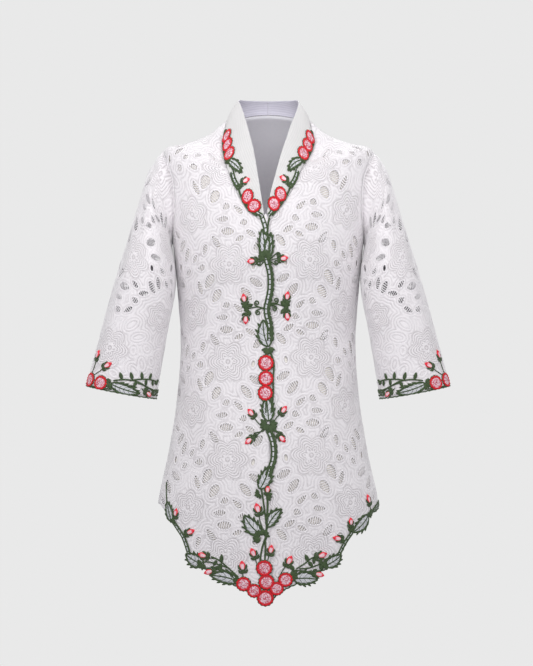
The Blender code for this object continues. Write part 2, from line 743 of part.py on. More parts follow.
def front_outline(side, middle, rise=0.0):
    """Outline of a front panel, flat: hem, side seam, armhole, shoulder, neck seam, edge.

    `middle` is how far the panel reaches past the centre, `rise` how much the hem is raised."""
    column = 1 if side < 0 else 2
    seam = SEAM / 2
    foot = -side * middle
    hem = np.array(FRONT_HEM, float)
    hem = hem[hem[:, column] > max(4, -middle + 8)] if middle < 0 else hem
    hem_view = flat_from_view(side * hem[:, column], hem[:, 0]) + np.array([0, rise])
    levels = np.concatenate([[SIDE_HEM + rise], np.linspace(-648, -216, 8)])
    side_line = np.stack([side * (quarter_girth(levels, True) - seam), levels], axis=-1)
    hole = armhole_flat(ARMHOLE_TURNS[1:-1][::-1], 0)[0] * np.array([side, 1])
    tops = np.linspace(-68, SHOULDER_TOP, 5)
    shoulder = np.stack([side * (quarter_girth(tops, True) - seam), tops], axis=-1)
    neck_view = neck_seam_view(side)[1:]
    neck_line = flat_from_view(neck_view[:, 0], neck_view[:, 1])
    if middle < 0:
        neck_line = neck_line[side * neck_line[:, 0] > -middle + 14]
    run = np.gradient(neck_line, axis=0)
    away = np.stack([-run[:, 1], run[:, 0]], axis=-1) * side
    away /= np.linalg.norm(away, axis=1, keepdims=True)
    moved = body_point(neck_line + away, 0, True) - body_point(neck_line, 0, True)
    neck_line = neck_line + away * (SEAM * 1.6) / np.linalg.norm(moved, axis=1, keepdims=True)
    top = np.array([foot, neck_line[-1, 1] - (4 if middle > 0 else 18)])
    edge = even_line([top, (foot, hem_view[0, 1])], 30)
    return np.vstack([hem_view, side_line, hole, shoulder, neck_line, edge])


def back_outline(rise=0.0):
    """Outline of the back panel, flat: hem, left side, armhole, shoulder, neck and mirrored."""
    seam = SEAM / 2
    levels = np.concatenate([[SIDE_HEM + rise], np.linspace(-648, -216, 8)])
    side_line = np.stack([quarter_girth(levels, False) - seam, levels], axis=-1)
    hole = armhole_flat(2 * math.pi - ARMHOLE_TURNS[1:-1][::-1], 0)[1]
    tops = np.linspace(-68, SHOULDER_TOP, 5)
    shoulder = np.stack([quarter_girth(tops, False) - seam, tops], axis=-1)
    turn = stand_rows()[0][-2::-1]
    top = np.full(len(turn), tops[-1])
    neck = np.stack([share_of(turn) * quarter_girth(top, False), top], axis=-1)
    share = np.linspace(0, 1, 8)[:-1]
    reach = quarter_girth(np.array([SIDE_HEM]), False)[0] - seam
    hem = np.stack([share * reach, BACK_HEM + rise + (SIDE_HEM - BACK_HEM) * share**2], axis=-1)
    half = np.vstack([hem, side_line, hole, shoulder, neck])
    other = half[1:-1][::-1] * np.array([-1, 1])
    return np.vstack([half, other])


def lining_hang(flat, outline, side):
    """How far a lining hangs inside the lace: close at the seams, free at hem and front edge."""
    loose = outline[:, 1] < SIDE_HEM + LINING_HEM + 1
    loose |= (side != 0) & (side * outline[:, 0] < 13)
    seams = outline[~loose]
    near = np.linalg.norm(flat[:, None, :] - seams[None], axis=2).min(axis=1)
    share = np.clip(near / 10.0, 0, 1)
    return LINING_SEAM + (LINING_SPACE - LINING_SEAM) * share * share * (3 - 2 * share)


def sleeve_outline(front):
    """Outline of a sleeve half, flat; the halves part on the outer fold and underarm."""
    sign = 1 if front else -1
    half_round = math.pi * SLEEVE_ROUND
    lane = SEAM / 2
    end = SLEEVE[-1][0]
    rounds = np.clip(ARMHOLE_TURNS * SLEEVE_ROUND, lane, half_round - lane) * sign
    top = np.stack([rounds, np.zeros(len(rounds))], axis=-1)
    cuff = np.stack([rounds[::-1], np.full(len(rounds), float(end))], axis=-1)
    along = np.array([SLEEVE[0][0]] + [row[0] for row in SLEEVE[1:-1]], float)
    fold = np.stack([np.full(len(along), (half_round - lane) * sign), along], axis=-1)
    crown = np.stack([np.full(len(along), lane * sign), along[::-1]], axis=-1)
    return np.vstack([top, fold, cuff, crown])


# ========================================================================================
# build
# ========================================================================================

for old in list(bpy.data.objects):
    bpy.data.objects.remove(old)

MATERIALS = {}
for colour_name, (base, rough) in COLOURS.items():
    material = bpy.data.materials.new(colour_name)
    material.use_nodes = True
    shader = material.node_tree.nodes["Principled BSDF"]
    shader.inputs["Base Color"].default_value = (*base, 1.0)
    shader.inputs["Roughness"].default_value = rough
    shader.inputs["Metallic"].default_value = 0.0
    MATERIALS[colour_name] = material

STEP = (40.0, 64.0)        # spacing of the points that fill a panel, across and up
LINING_STEP = (46.0, 76.0)
PANEL_SAG = 1.9            # a flat face lies at most this far from the true surface
LINING_SAG = 2.6
APPLIQUE_SAG = 0.75
PATTERN_ORIGIN = {-1: (-75.0, -428.0), 1: (80.0, -420.0)}
HEM_WHOLE = -770.0         # the lace has no large gap below this level

for side, word in ((-1, "right"), (1, "left")):
    def place(flat, out, side=side):
        """On the front; the left front dips under the right one at the middle."""
        dip = drop_under(flat[:, 0]) if side > 0 else 0
        return body_point(flat, out - dip, True)

    outline = front_outline(side, FRONT_EDGE if side < 0 else UNDERLAP)
    gaps = lace_gaps(outline, np.array(PATTERN_ORIGIN[side]), -side, HEM_WHOLE)
    if side > 0:
        gaps = [gap for gap in gaps if gap[:, 0].min() > 12]
    fill = fill_points(outline, gaps, STEP, 15.0)
    flat, faces = refined([outline], gaps, fill, place, PANEL_SAG)
    wall("lace_front_" + word, "lace", flat, faces, place, LACE, 0.0)

    outline = front_outline(side, -LINING_SHORT if side < 0 else UNDERLAP, LINING_HEM)
    fill = fill_points(outline, (), LINING_STEP, 18.0)
    flat, faces = refined([outline], (), fill, place, LINING_SAG)
    hang = lining_hang(flat, outline, side)
    wall("lining_front_" + word, "lining", flat, faces, place, -hang, -hang - LINING)


def on_back(flat, out):
    """On the back of the figure."""
    return body_point(flat, out, False)


def on_front(flat, out):
    """On the front of the figure, over both panels."""
    return body_point(flat, out, True)


outline = back_outline()
gaps = lace_gaps(outline, np.array((0.0, -400.0)), 1, BACK_HEM + 40)
flat, faces = refined([outline], gaps, fill_points(outline, gaps, STEP, 15.0), on_back,
                      PANEL_SAG)
wall("lace_back", "lace", flat, faces, on_back, LACE, 0.0)
outline = back_outline(rise=LINING_HEM)
flat, faces = refined([outline], (), fill_points(outline, (), LINING_STEP, 18.0), on_back,
                      LINING_SAG)
hang = lining_hang(flat, outline, 0)
wall("lining_back", "lining", flat, faces, on_back, -hang, -hang - LINING)

for side, word in ((-1, "right"), (1, "left")):
    def on_sleeve(flat, out, side=side):
        """On one sleeve."""
        return sleeve_point(flat, out, side)

    for front, half in ((True, "front"), (False, "back")):
        sign = 1 if front else -1
        outline = sleeve_outline(front)
        gaps = lace_gaps(outline, np.array((60.0 * sign, 190.0)), sign, 30.0)
        gaps = [gap for gap in gaps if gap[:, 1].max() < SLEEVE_WHOLE]
        fill = fill_points(outline, gaps, (28.0, 50.0), 13.0)
        flat, faces = refined([outline], gaps, fill, on_sleeve, PANEL_SAG)
        wall(f"sleeve_{word}_{half}", "lace", flat, faces, on_sleeve, LACE, 0.0)

        def from_cuff(row, sign=sign):
            """Cuff rows measured round and up from the edge, as sleeve coordinates."""
            out = []
            pairs = 2 if len(row) >= 4 else 1
            for k in range(pairs):
                out += [row[2 * k] * sign, SLEEVE[-1][0] - row[2 * k + 1]]
            return tuple(out) + tuple(row[2 * pairs:])

        stems = [(CUFF_STEM[0], [from_cuff(point) for point in CUFF_STEM[1]])]
        applique(f"embroidery_cuff_{word}_{half}", "embroidery", on_sleeve,
                 LACE + APPLIQUE_SPACE, stems, [from_cuff(row) for row in CUFF_LEAVES],
                 [from_cuff(row) for row in CUFF_BUDS] if front else [],
                 [from_cuff(row) for row in CUFF_FLOWERS])

    def on_collar(flat, out, side=side):
        """On one half of the collar band."""
        return collar_point(flat, out, side)

    along = COLLAR_PLACES[side].copy()
    along[-1] -= SEAM / 2
    wide = np.linalg.norm(on_rail(side, 1, along) - on_rail(side, 0, along), axis=1)
    rows = [np.stack([along, share * wide], axis=-1) for share in (0, 0.25, 0.5, 0.75, 1)]
    outline = np.vstack([rows[0], rows[-1][::-1]])
    flat, faces = triangulate([outline], (), np.vstack([row[1:-1] for row in rows[1:-1]]))
    share = flat[:, 1] / np.interp(flat[:, 0], along, wide)
    thin = np.clip(share * 4, 0, 1)
    wall("collar_" + word, "band", flat, faces, on_collar, LACE * thin,
         -BAND + LACE * thin)
    applique("embroidery_collar_" + word, "embroidery", on_collar, LACE + APPLIQUE_SPACE,
             [COLLAR_STEM], COLLAR_LEAVES, COLLAR_BUDS, COLLAR_FLOWERS)

applique("embroidery_fronts", "embroidery", on_front, LACE + APPLIQUE_SPACE,
         flat_stems(VINE_STEMS + HEM_STEMS), flat_rows(VINE_LEAVES + HEM_LEAVES),
         flat_rows(VINE_BUDS + HEM_BUDS), flat_rows(VINE_FLOWERS + TIP_FLOWERS))
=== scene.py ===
"""Kebaya blouse in openwork lace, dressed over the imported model.

Every shape is worked out in millimetres and divided by 1000 when its mesh is made.
+Z is up, the front faces -Y and the wearer's left is +X.
"""
import math
from functools import partial

import bpy
import numpy as np
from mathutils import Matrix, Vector
from mathutils.geometry import delaunay_2d_cdt


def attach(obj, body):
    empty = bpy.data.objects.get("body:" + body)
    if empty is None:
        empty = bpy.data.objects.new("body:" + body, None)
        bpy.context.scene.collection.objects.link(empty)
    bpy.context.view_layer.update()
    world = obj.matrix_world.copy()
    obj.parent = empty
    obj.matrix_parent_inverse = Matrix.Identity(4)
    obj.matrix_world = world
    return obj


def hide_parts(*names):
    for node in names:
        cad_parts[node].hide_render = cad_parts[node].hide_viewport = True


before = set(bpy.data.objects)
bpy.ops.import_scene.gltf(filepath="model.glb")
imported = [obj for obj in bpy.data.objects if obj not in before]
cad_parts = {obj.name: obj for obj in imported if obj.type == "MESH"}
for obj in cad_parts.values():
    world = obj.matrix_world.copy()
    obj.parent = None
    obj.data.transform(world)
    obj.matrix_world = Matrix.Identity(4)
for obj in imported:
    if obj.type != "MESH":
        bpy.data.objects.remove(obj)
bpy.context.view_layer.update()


# =========================================================================================
# THE FIGURE THE BLOUSE IS CUT FOR
# Oval rings, drafted as a maker drafts a body block.  A panel is drawn flat: `across` is
# the distance round the body from the centre line and `level` is the height on the block.
# =========================================================================================

# level, half width, front depth, back depth, height at centre front, side, centre back
BODY = np.array((
    (-900, 205, 112, 116, -900, -900, -900),
    (-800, 207, 117, 121, -800, -800, -800),
    (-690, 203, 122, 127, -690, -690, -690),
    (-600, 184, 122, 127, -600, -600, -600),
    (-500, 168, 114, 117, -500, -500, -500),
    (-396, 161, 107, 104, -396, -396, -396),
    (-310, 166, 116, 104, -310, -310, -310),
    (-235, 173, 130, 110, -235, -235, -235),
    (-170, 181, 128, 115, -170, -166, -170),
    (-110, 190, 112, 114, -112, -96, -110),
    (-70, 193, 98, 106, -86, -39, -66),
    (-28, 150, 86, 92, -74, -25, -20),
    (12, 108, 74, 76, -63, -8, 14),
    (50, 77, 62, 58, -50, 18, 36),
), float)

# soft troughs: across, level, length, width, depth, turn in degrees
CREASES = (
    (-122, -206, 120, 64, 2.8, 58),
    (126, -202, 116, 60, 2.6, -56),
    (-100, -410, 150, 66, 2.2, 84),
    (108, -424, 160, 70, 2.4, -82),
    (-150, -580, 210, 70, 3.0, 88),
    (144, -600, 190, 72, 2.8, -88),
)
FINE_CREASES = (
    (-64, -560, 260, 30, 1.5, 86),
    (-30, -640, 240, 26, 1.2, 92),
    (58, -600, 250, 30, 1.5, -86),
    (96, -690, 200, 28, 1.4, -80),
    (-128, -690, 180, 26, 1.5, 82),
    (-150, -330, 130, 24, 1.6, 30),
    (-140, -372, 120, 22, 1.3, 22),
    (150, -334, 130, 24, 1.6, -28),
    (142, -378, 120, 22, 1.2, -20),
    (-86, -150, 110, 26, 1.1, 48),
    (90, -150, 110, 26, 1.2, -46),
    (-52, -470, 170, 30, 1.0, 80),
    (60, -480, 180, 30, 1.1, -78),
)


def smooth_column(at, places, values):
    """Value at any place: the cubic through its two neighbours with their mean slopes."""
    at = np.clip(at, places[0], places[-1])
    row = np.clip(np.searchsorted(places, at, side="right") - 1, 0, len(places) - 2)
    slopes = np.gradient(values, places)
    step = places[row + 1] - places[row]
    t = (at - places[row]) / step
    return ((2 * t**3 - 3 * t**2 + 1) * values[row] + (t**3 - 2 * t**2 + t) * step * slopes[row]
            + (3 * t**2 - 2 * t**3) * values[row + 1] + (t**3 - t**2) * step * slopes[row + 1])


def read_rows(table, at):
    """Every column of a table read at `at`, which runs along its first column."""
    return [smooth_column(at, table[:, 0], table[:, k]) for k in range(1, table.shape[1])]


def quarter_girth(level, front):
    """A quarter of an ellipse's girth: pi/4 (3(a+b) - sqrt((3a+b)(a+3b)))."""
    half, ahead, behind = read_rows(BODY, level)[:3]
    deep = ahead if front else behind
    return math.pi / 4 * (3 * (half + deep) - np.sqrt((3 * half + deep) * (half + 3 * deep)))


def ring_turn(share):
    """The turn round a ring at a share of its quarter: pi/2 (s - 0.06 sin pi s)."""
    return math.pi / 2 * (share - 0.06 * np.sin(math.pi * share))


SHARES = np.linspace(-1, 1, 401)
TURNS = ring_turn(SHARES)


def flat_at(turn, level, front):
    """The (across, level) at a turn round a ring."""
    return np.stack([np.interp(turn, TURNS, SHARES) * quarter_girth(level, front), level], axis=-1)


def figure(share, level, front):
    """An oval ring: (a sin t, b cos t), its height easing from the middle to the side."""
    half, ahead, behind, z_front, z_side, z_back = read_rows(BODY, level)
    turn = ring_turn(share)
    z_mid = z_front if front else z_back
    return np.stack([half * np.sin(turn), (-ahead if front else behind) * np.cos(turn),
                     z_side + (z_mid - z_side) * np.cos(turn) ** 2], axis=-1)


def bells(across, level, rows):
    """Sum of bells: depth times exp(-(across it)^2 - (along it)^2), each turned its way."""
    depth = np.zeros(np.shape(across))
    for at, height, length, width, deep, turn in rows:
        c, s = math.cos(math.radians(turn)), math.sin(math.radians(turn))
        u = (across - at) * c + (level - height) * s
        v = (level - height) * c - (across - at) * s
        depth = depth + deep * np.exp(-(v / (width / 2)) ** 2 - (u / (length / 2)) ** 2)
    return depth


def body_point(flat, out, front):
    """The ring point for (across, level), moved `out` along the normal of the rings."""
    across, level = flat[:, 0], flat[:, 1]
    share = across / quarter_girth(level, front)
    round_way = figure(share + 0.004, level, front) - figure(share - 0.004, level, front)
    up_way = figure(share, level + 0.8, front) - figure(share, level - 0.8, front)
    normal = np.cross(round_way, up_way)
    normal /= np.linalg.norm(normal, axis=1, keepdims=True) * (1 if front else -1)
    if front:
        out = out - bells(across, level, CREASES) - bells(across, level, FINE_CREASES)
    else:
        out = out - bells(across, level, FINE_CREASES) * 0.8
    return figure(share, level, front) + normal * np.reshape(out, (-1, 1))


def flat_from_view(x, z):
    """The (across, level) seen at (x, z) from the front, its level found by halving."""
    x, z = np.asarray(x, float), np.asarray(z, float)
    low, high = np.full(x.shape, -899.0), np.full(x.shape, 49.9)
    for _ in range(24):
        level = (low + high) / 2
        half, _, _, z_front, z_side, _ = read_rows(BODY, level)
        sine = np.clip(x / half, -1, 1)
        below = z_side + (z_front - z_side) * (1 - sine**2) < z
        low, high = np.where(below, level, low), np.where(below, high, level)
    return flat_at(np.arcsin(np.clip(x / read_rows(BODY, level)[0], -1, 1)), level, True)


def ease(share):
    """A smooth step from 0 to 1: t t (3 - 2 t)."""
    t = np.clip(share, 0, 1)
    return t * t * (3 - 2 * t)


def drop_under(across):
    """How far the left front dips under the right one: 2.4 mm, eased out by 22 mm across."""
    return 2.4 * ease((22.0 - across) / 16.0)


def walked(line):
    """The distance walked along a line by each of its points."""
    steps = np.linalg.norm(np.diff(np.asarray(line, float), axis=0), axis=1)
    return np.concatenate([[0], np.cumsum(steps)])


def left_of(line):
    """Unit normals on the left of a flat line."""
    run = np.gradient(line, axis=0)
    side = np.stack([-run[:, 1], run[:, 0]], axis=-1)
    return side / np.maximum(np.linalg.norm(side, axis=1, keepdims=True), 1e-9)


def spline(points, count):
    """Even points on the smooth curve through the given ones."""
    points = np.array(points, float)
    places = walked(points)
    at = np.linspace(0, places[-1], count)
    return np.stack([smooth_column(at, places, points[:, k])
                     for k in range(points.shape[1])], axis=-1)


# =========================================================================================
# THE LACE
# Guipure lace in cotton: corded bands flow round pointed gaps and between blossoms of six
# petals, each petal filled with close arcs of cord.  Thin bars of thread cross the gaps.
# =========================================================================================

LACE = 1.2                                   # thickness of its ground, under the cords
REPEAT = np.array((160.0, 176.0))            # one repeat, across and up
PLAIN_EDGE = 5.0                             # no gap comes nearer than this to an edge
BARRED_FROM, BAR_SPACING = 13.0, 4.6         # shortest gap with bars, and from bar to bar
GAP_POINTS = 14
# gaps: across, up, length, width, turn in degrees, taper of one end
GAPS = (
    (-38, -31, 28, 16, 62, 0.3),
    (-23, -57, 25, 15, 58, 0.2),
    (-4, -74, 13, 10, 30, 0.4),
    (19, -79, 20, 8, -42, 0.5),
    (34, -54, 28, 13, -50, 0.0),
    (52, -33, 26, 12, -28, 0.0),
    (-12, -96, 21, 9, 5, 0.3),
    (-3, -118, 24, 13, 0, 0.0),
    (28, -102, 13, 10, 20, 0.5),
    (-26, -136, 24, 9, -50, 0.2),
    (42, -122, 20, 9, -30, 0.0),
    (56, -142, 24, 12, 50, 0.0),
    (-50, 26, 18, 9, 75, 0.4),
    (-28, 38, 18, 7, -55, 0.2),
    (-57, -6, 15, 10, 10, 0.5),
    (-72, 10, 14, 8, 60, 0.0),
    (72, -14, 13, 9, 40, 0.4),
    (47, -4, 12, 6, 80, 0.0),
    (68, 18, 24, 10, 70, 0.1),
    (20, 45, 16, 8, 25, 0.3),
    (-57, -42, 24, 9, -70, 0.1),
)
# blossoms: across, up, radius to the petal tips, petals, turn of the first one in degrees
BLOSSOMS = (
    (0, 0, 39, 6, 62),
    (-72, -88, 33, 6, 20),
)


def inside(points, polygon):
    """Whether each point lies in a polygon, by the crossings of a ray to its right."""
    x, y = points[:, 0][:, None], points[:, 1][:, None]
    ax, ay = polygon[:, 0], polygon[:, 1]
    bx, by = np.roll(ax, -1), np.roll(ay, -1)
    with np.errstate(divide="ignore", invalid="ignore"):
        crossing = ax + (y - ay) * (bx - ax) / (by - ay)
    return (((ay > y) != (by > y)) & (x < crossing)).sum(axis=1) % 2 == 1


def distance(points, polygon):
    """Distance from each point to the nearest side of a closed polygon."""
    run = np.roll(polygon, -1, axis=0) - polygon
    rel = points[:, None, :] - polygon[None]
    t = np.clip((rel * run).sum(axis=2) / np.maximum((run**2).sum(axis=1), 1e-9), 0, 1)
    return np.linalg.norm(rel - t[..., None] * run, axis=2).min(axis=1)


def gap_distance(points, gaps, reach=16.0):
    """Distance to the nearest gap's edge, below 0 within a gap, and at most `reach`."""
    near = np.full(len(points), reach)
    for gap in gaps:
        low, high = gap.min(axis=0) - reach, gap.max(axis=0) + reach
        close = ((points > low) & (points < high)).all(axis=1)
        if close.any():
            away = distance(points[close], gap)
            away = np.where(inside(points[close], gap), -away, away)
            near[close] = np.minimum(near[close], away)
    return near


def gap_outline(length, width, turn, taper):
    """A pointed oval: (l/2 cos t, w/2 sin t |sin t|^0.1 (1 + taper cos t)), then turned."""
    t = np.arange(GAP_POINTS) * 2 * math.pi / GAP_POINTS
    x = length / 2 * np.cos(t)
    y = width / 2 * np.sign(np.sin(t)) * np.abs(np.sin(t)) ** 1.1 * (1 + taper * np.cos(t))
    c, s = math.cos(math.radians(turn)), math.sin(math.radians(turn))
    return np.stack([x * c - y * s, x * s + y * c], axis=-1)


def repeat_gaps(outline, origin, mirror):
    """Every gap of the repeat on or near a panel, with its (x, y, turn, l, w) row."""
    low, high = outline.min(axis=0) - 12, outline.max(axis=0) + 12
    for across, up, length, width, turn, taper in GAPS:
        shape = gap_outline(length, width, turn, taper)
        for column in range(-4, 5):
            for row in range(-7, 8):
                centre = (REPEAT * (column, row) + (across, up)) * (mirror, 1) + origin
                if (centre > low).all() and (centre < high).all():
                    yield shape * (mirror, 1) + centre, (*centre, turn * mirror, length, width)


def lace_gaps(outline, origin, mirror, lowest, highest=math.inf):
    """The repeat's gaps that lie whole in a panel and between two levels, and their rows."""
    found, bars = [], []
    for polygon, row in repeat_gaps(outline, origin, mirror):
        if polygon[:, 1].min() < lowest or polygon[:, 1].max() > highest:
            continue
        if inside(polygon, outline).all() and distance(polygon, outline).min() > PLAIN_EDGE:
            found.append(polygon)
            bars.append(row)
    return found, bars


def petal_field(flat, origin, mirror):
    """Depth in from the nearest petal's edge (below 0 outside), and an arc distance.

    A petal is an oval on its own axis, 0.84 r long and 0.66 r wide.  Its arc distance is
    hypot(along - 0.22 r, 1.9 aside), so its cords nest round the petal's foot; in the heart
    of a blossom it is the distance from the middle."""
    best = np.full(len(flat), -30.0)
    arc = np.zeros(len(flat))
    local = (flat - origin) * (mirror, 1)
    for across, up, radius, petals, turn in BLOSSOMS:
        rel = local - (across, up)
        rel = rel - np.round(rel / REPEAT) * REPEAT
        shapes = [(0.26 * radius - np.hypot(rel[:, 0], rel[:, 1]), np.hypot(rel[:, 0], rel[:, 1]))]
        for k in range(petals):
            angle = math.radians(turn + 360 * k / petals)
            along = rel[:, 0] * math.cos(angle) + rel[:, 1] * math.sin(angle)
            aside = rel[:, 1] * math.cos(angle) - rel[:, 0] * math.sin(angle)
            size = np.hypot((along - radius * 0.62) / (radius * 0.42), aside / (radius * 0.33))
            shapes.append(((1 - size) * radius * 0.34,
                           np.hypot(np.maximum(along - 0.22 * radius, 0), aside * 1.9)))
        for depth, nested in shapes:
            arc = np.where(depth > best, nested, arc)
            best = np.maximum(best, depth)
    return best, arc


def even_line(points, step):
    """Points along a broken line, about `step` apart, keeping its corners."""
    points = np.array(points, float)
    out = [points[:1]]
    for a, b in zip(points[:-1], points[1:]):
        count = max(1, round(float(np.linalg.norm(b - a)) / step))
        out.append(a + (b - a) * (np.arange(1, count + 1) / count)[:, None])
    return np.vstack(out)


def fill_points(outline, gaps, step, clear):
    """Staggered rows of points inside an outline and outside its gaps."""
    low, high = outline.min(axis=0), outline.max(axis=0)
    x, y = np.meshgrid(np.arange(low[0], high[0], step), np.arange(low[1], high[1], step * 0.87))
    x = x + (np.arange(len(x)) % 2)[:, None] * step / 2
    points = np.stack([x.ravel(), y.ravel()], axis=-1)
    points = points[inside(points, outline)]
    points = points[distance(points, outline) > clear]
    return points[gap_distance(points, gaps) > clear]


def triangulate(outline, gaps, extra):
    """Flat triangles of an outline less its gaps, with the extra points in them."""
    loops = [outline, *gaps]
    firsts = np.cumsum([0] + [len(loop) for loop in loops])
    edges = [(first + k, first + (k + 1) % len(loop))
             for first, loop in zip(firsts.tolist(), loops) for k in range(len(loop))]
    points = [Vector(p) for p in np.vstack([*loops, extra]).tolist()]
    verts, _, faces, _, _, _ = delaunay_2d_cdt(points, edges, [], 0, 1e-3)
    verts, faces = np.array([tuple(v) for v in verts]), np.array(faces)
    middles = verts[faces].mean(axis=1)
    faces = faces[inside(middles, outline) & (gap_distance(middles, gaps) > 0)]
    used, index = np.unique(faces, return_inverse=True)
    return verts[used], index.reshape(-1, 3)


def mesh_piece(name, points, faces, material, uv=None, fields=None):
    """A smooth piece from arrays: points in mm, faces of equal length, uv and fields by point."""
    corners = faces.shape[1]
    mesh = bpy.data.meshes.new(name)
    mesh.vertices.add(len(points))
    mesh.vertices.foreach_set("co", (points * 0.001).astype(np.float32).ravel())
    mesh.loops.add(faces.size)
    mesh.loops.foreach_set("vertex_index", faces.astype(np.int32).ravel())
    mesh.polygons.add(len(faces))
    mesh.polygons.foreach_set("loop_start", np.arange(0, faces.size, corners, dtype=np.int32))
    mesh.polygons.foreach_set("use_smooth", np.ones(len(faces), bool))
    mesh.update(calc_edges=True)
    if uv is not None:
        layer = mesh.uv_layers.new(name="UVMap")
        layer.data.foreach_set("uv", uv[faces.ravel()].astype(np.float32).ravel())
    for key, values in (fields or {}).items():
        mesh.attributes.new(key, "FLOAT", "POINT").data.foreach_set(
            "value", values.astype(np.float32))
    mesh.validate()
    mesh.materials.append(material)
    piece = bpy.data.objects.new(name, mesh)
    bpy.context.scene.collection.objects.link(piece)
    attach(piece, "root")
    return piece


def wall(name, material, flat, faces, place, outer, inner, fields=None):
    """A closed wall: the flat triangles carried to `outer` and `inner`, and its edges."""
    top = place(flat, np.broadcast_to(outer, (len(flat),)))
    under = place(flat, np.broadcast_to(inner, (len(flat),)))
    edges = np.vstack([faces[:, (0, 1)], faces[:, (1, 2)], faces[:, (2, 0)]])
    key = edges[:, 0] * (len(flat) + 1) + edges[:, 1]
    back = edges[:, 1] * (len(flat) + 1) + edges[:, 0]
    rim = edges[~np.isin(key, back)]
    a, b = rim[:, 0], rim[:, 1]
    count = len(flat)
    every = np.vstack([faces, faces[:, ::-1] + count,
                       np.stack([b, a, a + count], axis=-1),
                       np.stack([b, a + count, b + count], axis=-1)])
    fields = {key: np.concatenate([values, values]) for key, values in (fields or {}).items()}
    side = np.concatenate([np.ones(count), np.zeros(count)])
    corner = top[faces[:, 0]]
    normal = np.cross(top[faces[:, 1]] - corner, top[faces[:, 2]] - corner)
    if ((corner - under[faces[:, 0]]) * normal).sum() < 0:
        every = every[:, ::-1]
    return mesh_piece(name, np.vstack([top, under]), every, material,
                      np.vstack([flat, flat]) * 0.001, {**fields, "face": side})


def lace_panel(name, material, outline, gaps, place, origin, mirror, spacing):
    """A lace wall with raised cords round its gaps and raised petal edges.

    The cords run on where the repeat's gaps are left closed.  Relief = 0.6 at 2.2 mm from a
    gap + 0.4 at 6.2 mm + 0.5 along a petal's edge + up to 0.4 within it, 0.8 at most."""
    loops = np.vstack(gaps) if gaps else np.zeros((0, 2))
    middles = np.vstack([np.tile(gap.mean(axis=0), (len(gap), 1)) for gap in gaps])
    away = loops - middles
    away /= np.linalg.norm(away, axis=1, keepdims=True)
    rings = np.vstack([loops + away * 2.2, loops + away * 4.6])
    rings = rings[inside(rings, outline) & (distance(rings, outline) > 2.0)]
    rings = rings[gap_distance(rings, gaps) > 1.6]
    band = 6.4                                # the rings stand within this of a gap
    fill = fill_points(outline, gaps, spacing, band if len(gaps) else 2.0)
    near = fill_points(outline, gaps, spacing, 2.6)
    near = near[gap_distance(near, gaps) <= band]
    if len(near) and len(rings):
        blocks = np.array_split(near, max(1, len(near) // 400))
        keep = [np.linalg.norm(block[:, None] - rings[None], axis=2).min(axis=1) > 2.4
                for block in blocks]
        near = near[np.concatenate(keep)]
    flat, faces = triangulate(outline, gaps, np.vstack([rings, near, fill]))
    pattern = [polygon for polygon, _ in repeat_gaps(outline, origin, mirror)]
    rim = gap_distance(flat, pattern, 24.0)
    petal, arc = petal_field(flat, origin, mirror)
    relief = (0.6 * np.exp(-((rim - 2.2) / 1.5) ** 2) + 0.4 * np.exp(-((rim - 6.2) / 1.5) ** 2)
              + 0.5 * np.exp(-(petal / 1.6) ** 2) + 0.4 * np.clip(petal / 9, 0, 1))
    relief = np.minimum(relief, 0.8)
    return wall(name, material, flat, faces, place, LACE + relief, 0.0,
                {"rim": rim, "petal": petal, "arc": arc})


def thread_bars(name, material, bars, place):
    """Four-sided bars across each gap of some length, straight lines from side to side."""
    starts, ends = [], []
    for x, y, turn, length, width in bars:
        if length < BARRED_FROM:
            continue
        count = round(length / BAR_SPACING)
        c, s = math.cos(math.radians(turn)), math.sin(math.radians(turn))
        for k in range(count):
            u = ((k + 0.5) / count - 0.5) * length * 0.86
            half = width / 2 * math.sqrt(max(0.05, 1 - (2 * u / length) ** 2)) + 1.2
            lean = length * 0.07
            starts.append((x + (u - lean) * c + half * s, y + (u - lean) * s - half * c))
            ends.append((x + (u + lean) * c - half * s, y + (u + lean) * s + half * c))
    a, b = np.array(starts), np.array(ends)
    rows, many = 4, len(a)
    t = np.linspace(0, 1, rows)[:, None, None]
    line = a * (1 - t) + b * t                                     # along, bar, xy
    run = (b - a) / np.linalg.norm(b - a, axis=1, keepdims=True)
    side = np.stack([-run[:, 1], run[:, 0]], axis=-1)
    flat, out = [], []
    for across, height in ((-0.85, 0.5), (0.85, 0.5), (0.85, 1.6), (-0.85, 1.6)):
        flat.append(line + side * across)
        out.append(np.full(line.shape[:2], height))
    flat, out = np.stack(flat, axis=2), np.stack(out, axis=2)      # along, bar, corner, xy
    points = place(flat.reshape(-1, 2), out.reshape(-1))
    index = np.arange(rows * many * 4).reshape(rows, many, 4)
    quads = [np.stack([index[:-1, :, j], index[:-1, :, (j + 1) % 4], index[1:, :, (j + 1) % 4],
                       index[1:, :, j]], axis=-1).reshape(-1, 4) for j in range(4)]
    quads.append(index[0][:, ::-1])
    quads.append(index[-1])
    plain = np.ones(len(points))
    return mesh_piece(name, points, np.vstack(quads)[:, ::-1], material,
                      flat.reshape(-1, 2) * 0.001, {"rim": plain * 1.2, "petal": plain * -30})


def link(tree, source, target):
    """Join an output to an input, or set the input where the source is a plain value."""
    if isinstance(source, bpy.types.NodeSocket):
        tree.links.new(source, target)
    else:
        target.default_value = source


def calc(tree, operation, a, b=0.0, c=0.0, clamp=False):
    """One math node's output."""
    node = tree.nodes.new("ShaderNodeMath")
    node.operation = operation
    node.use_clamp = clamp
    for socket, value in zip(node.inputs, (a, b, c)):
        link(tree, value, socket)
    return node.outputs[0]


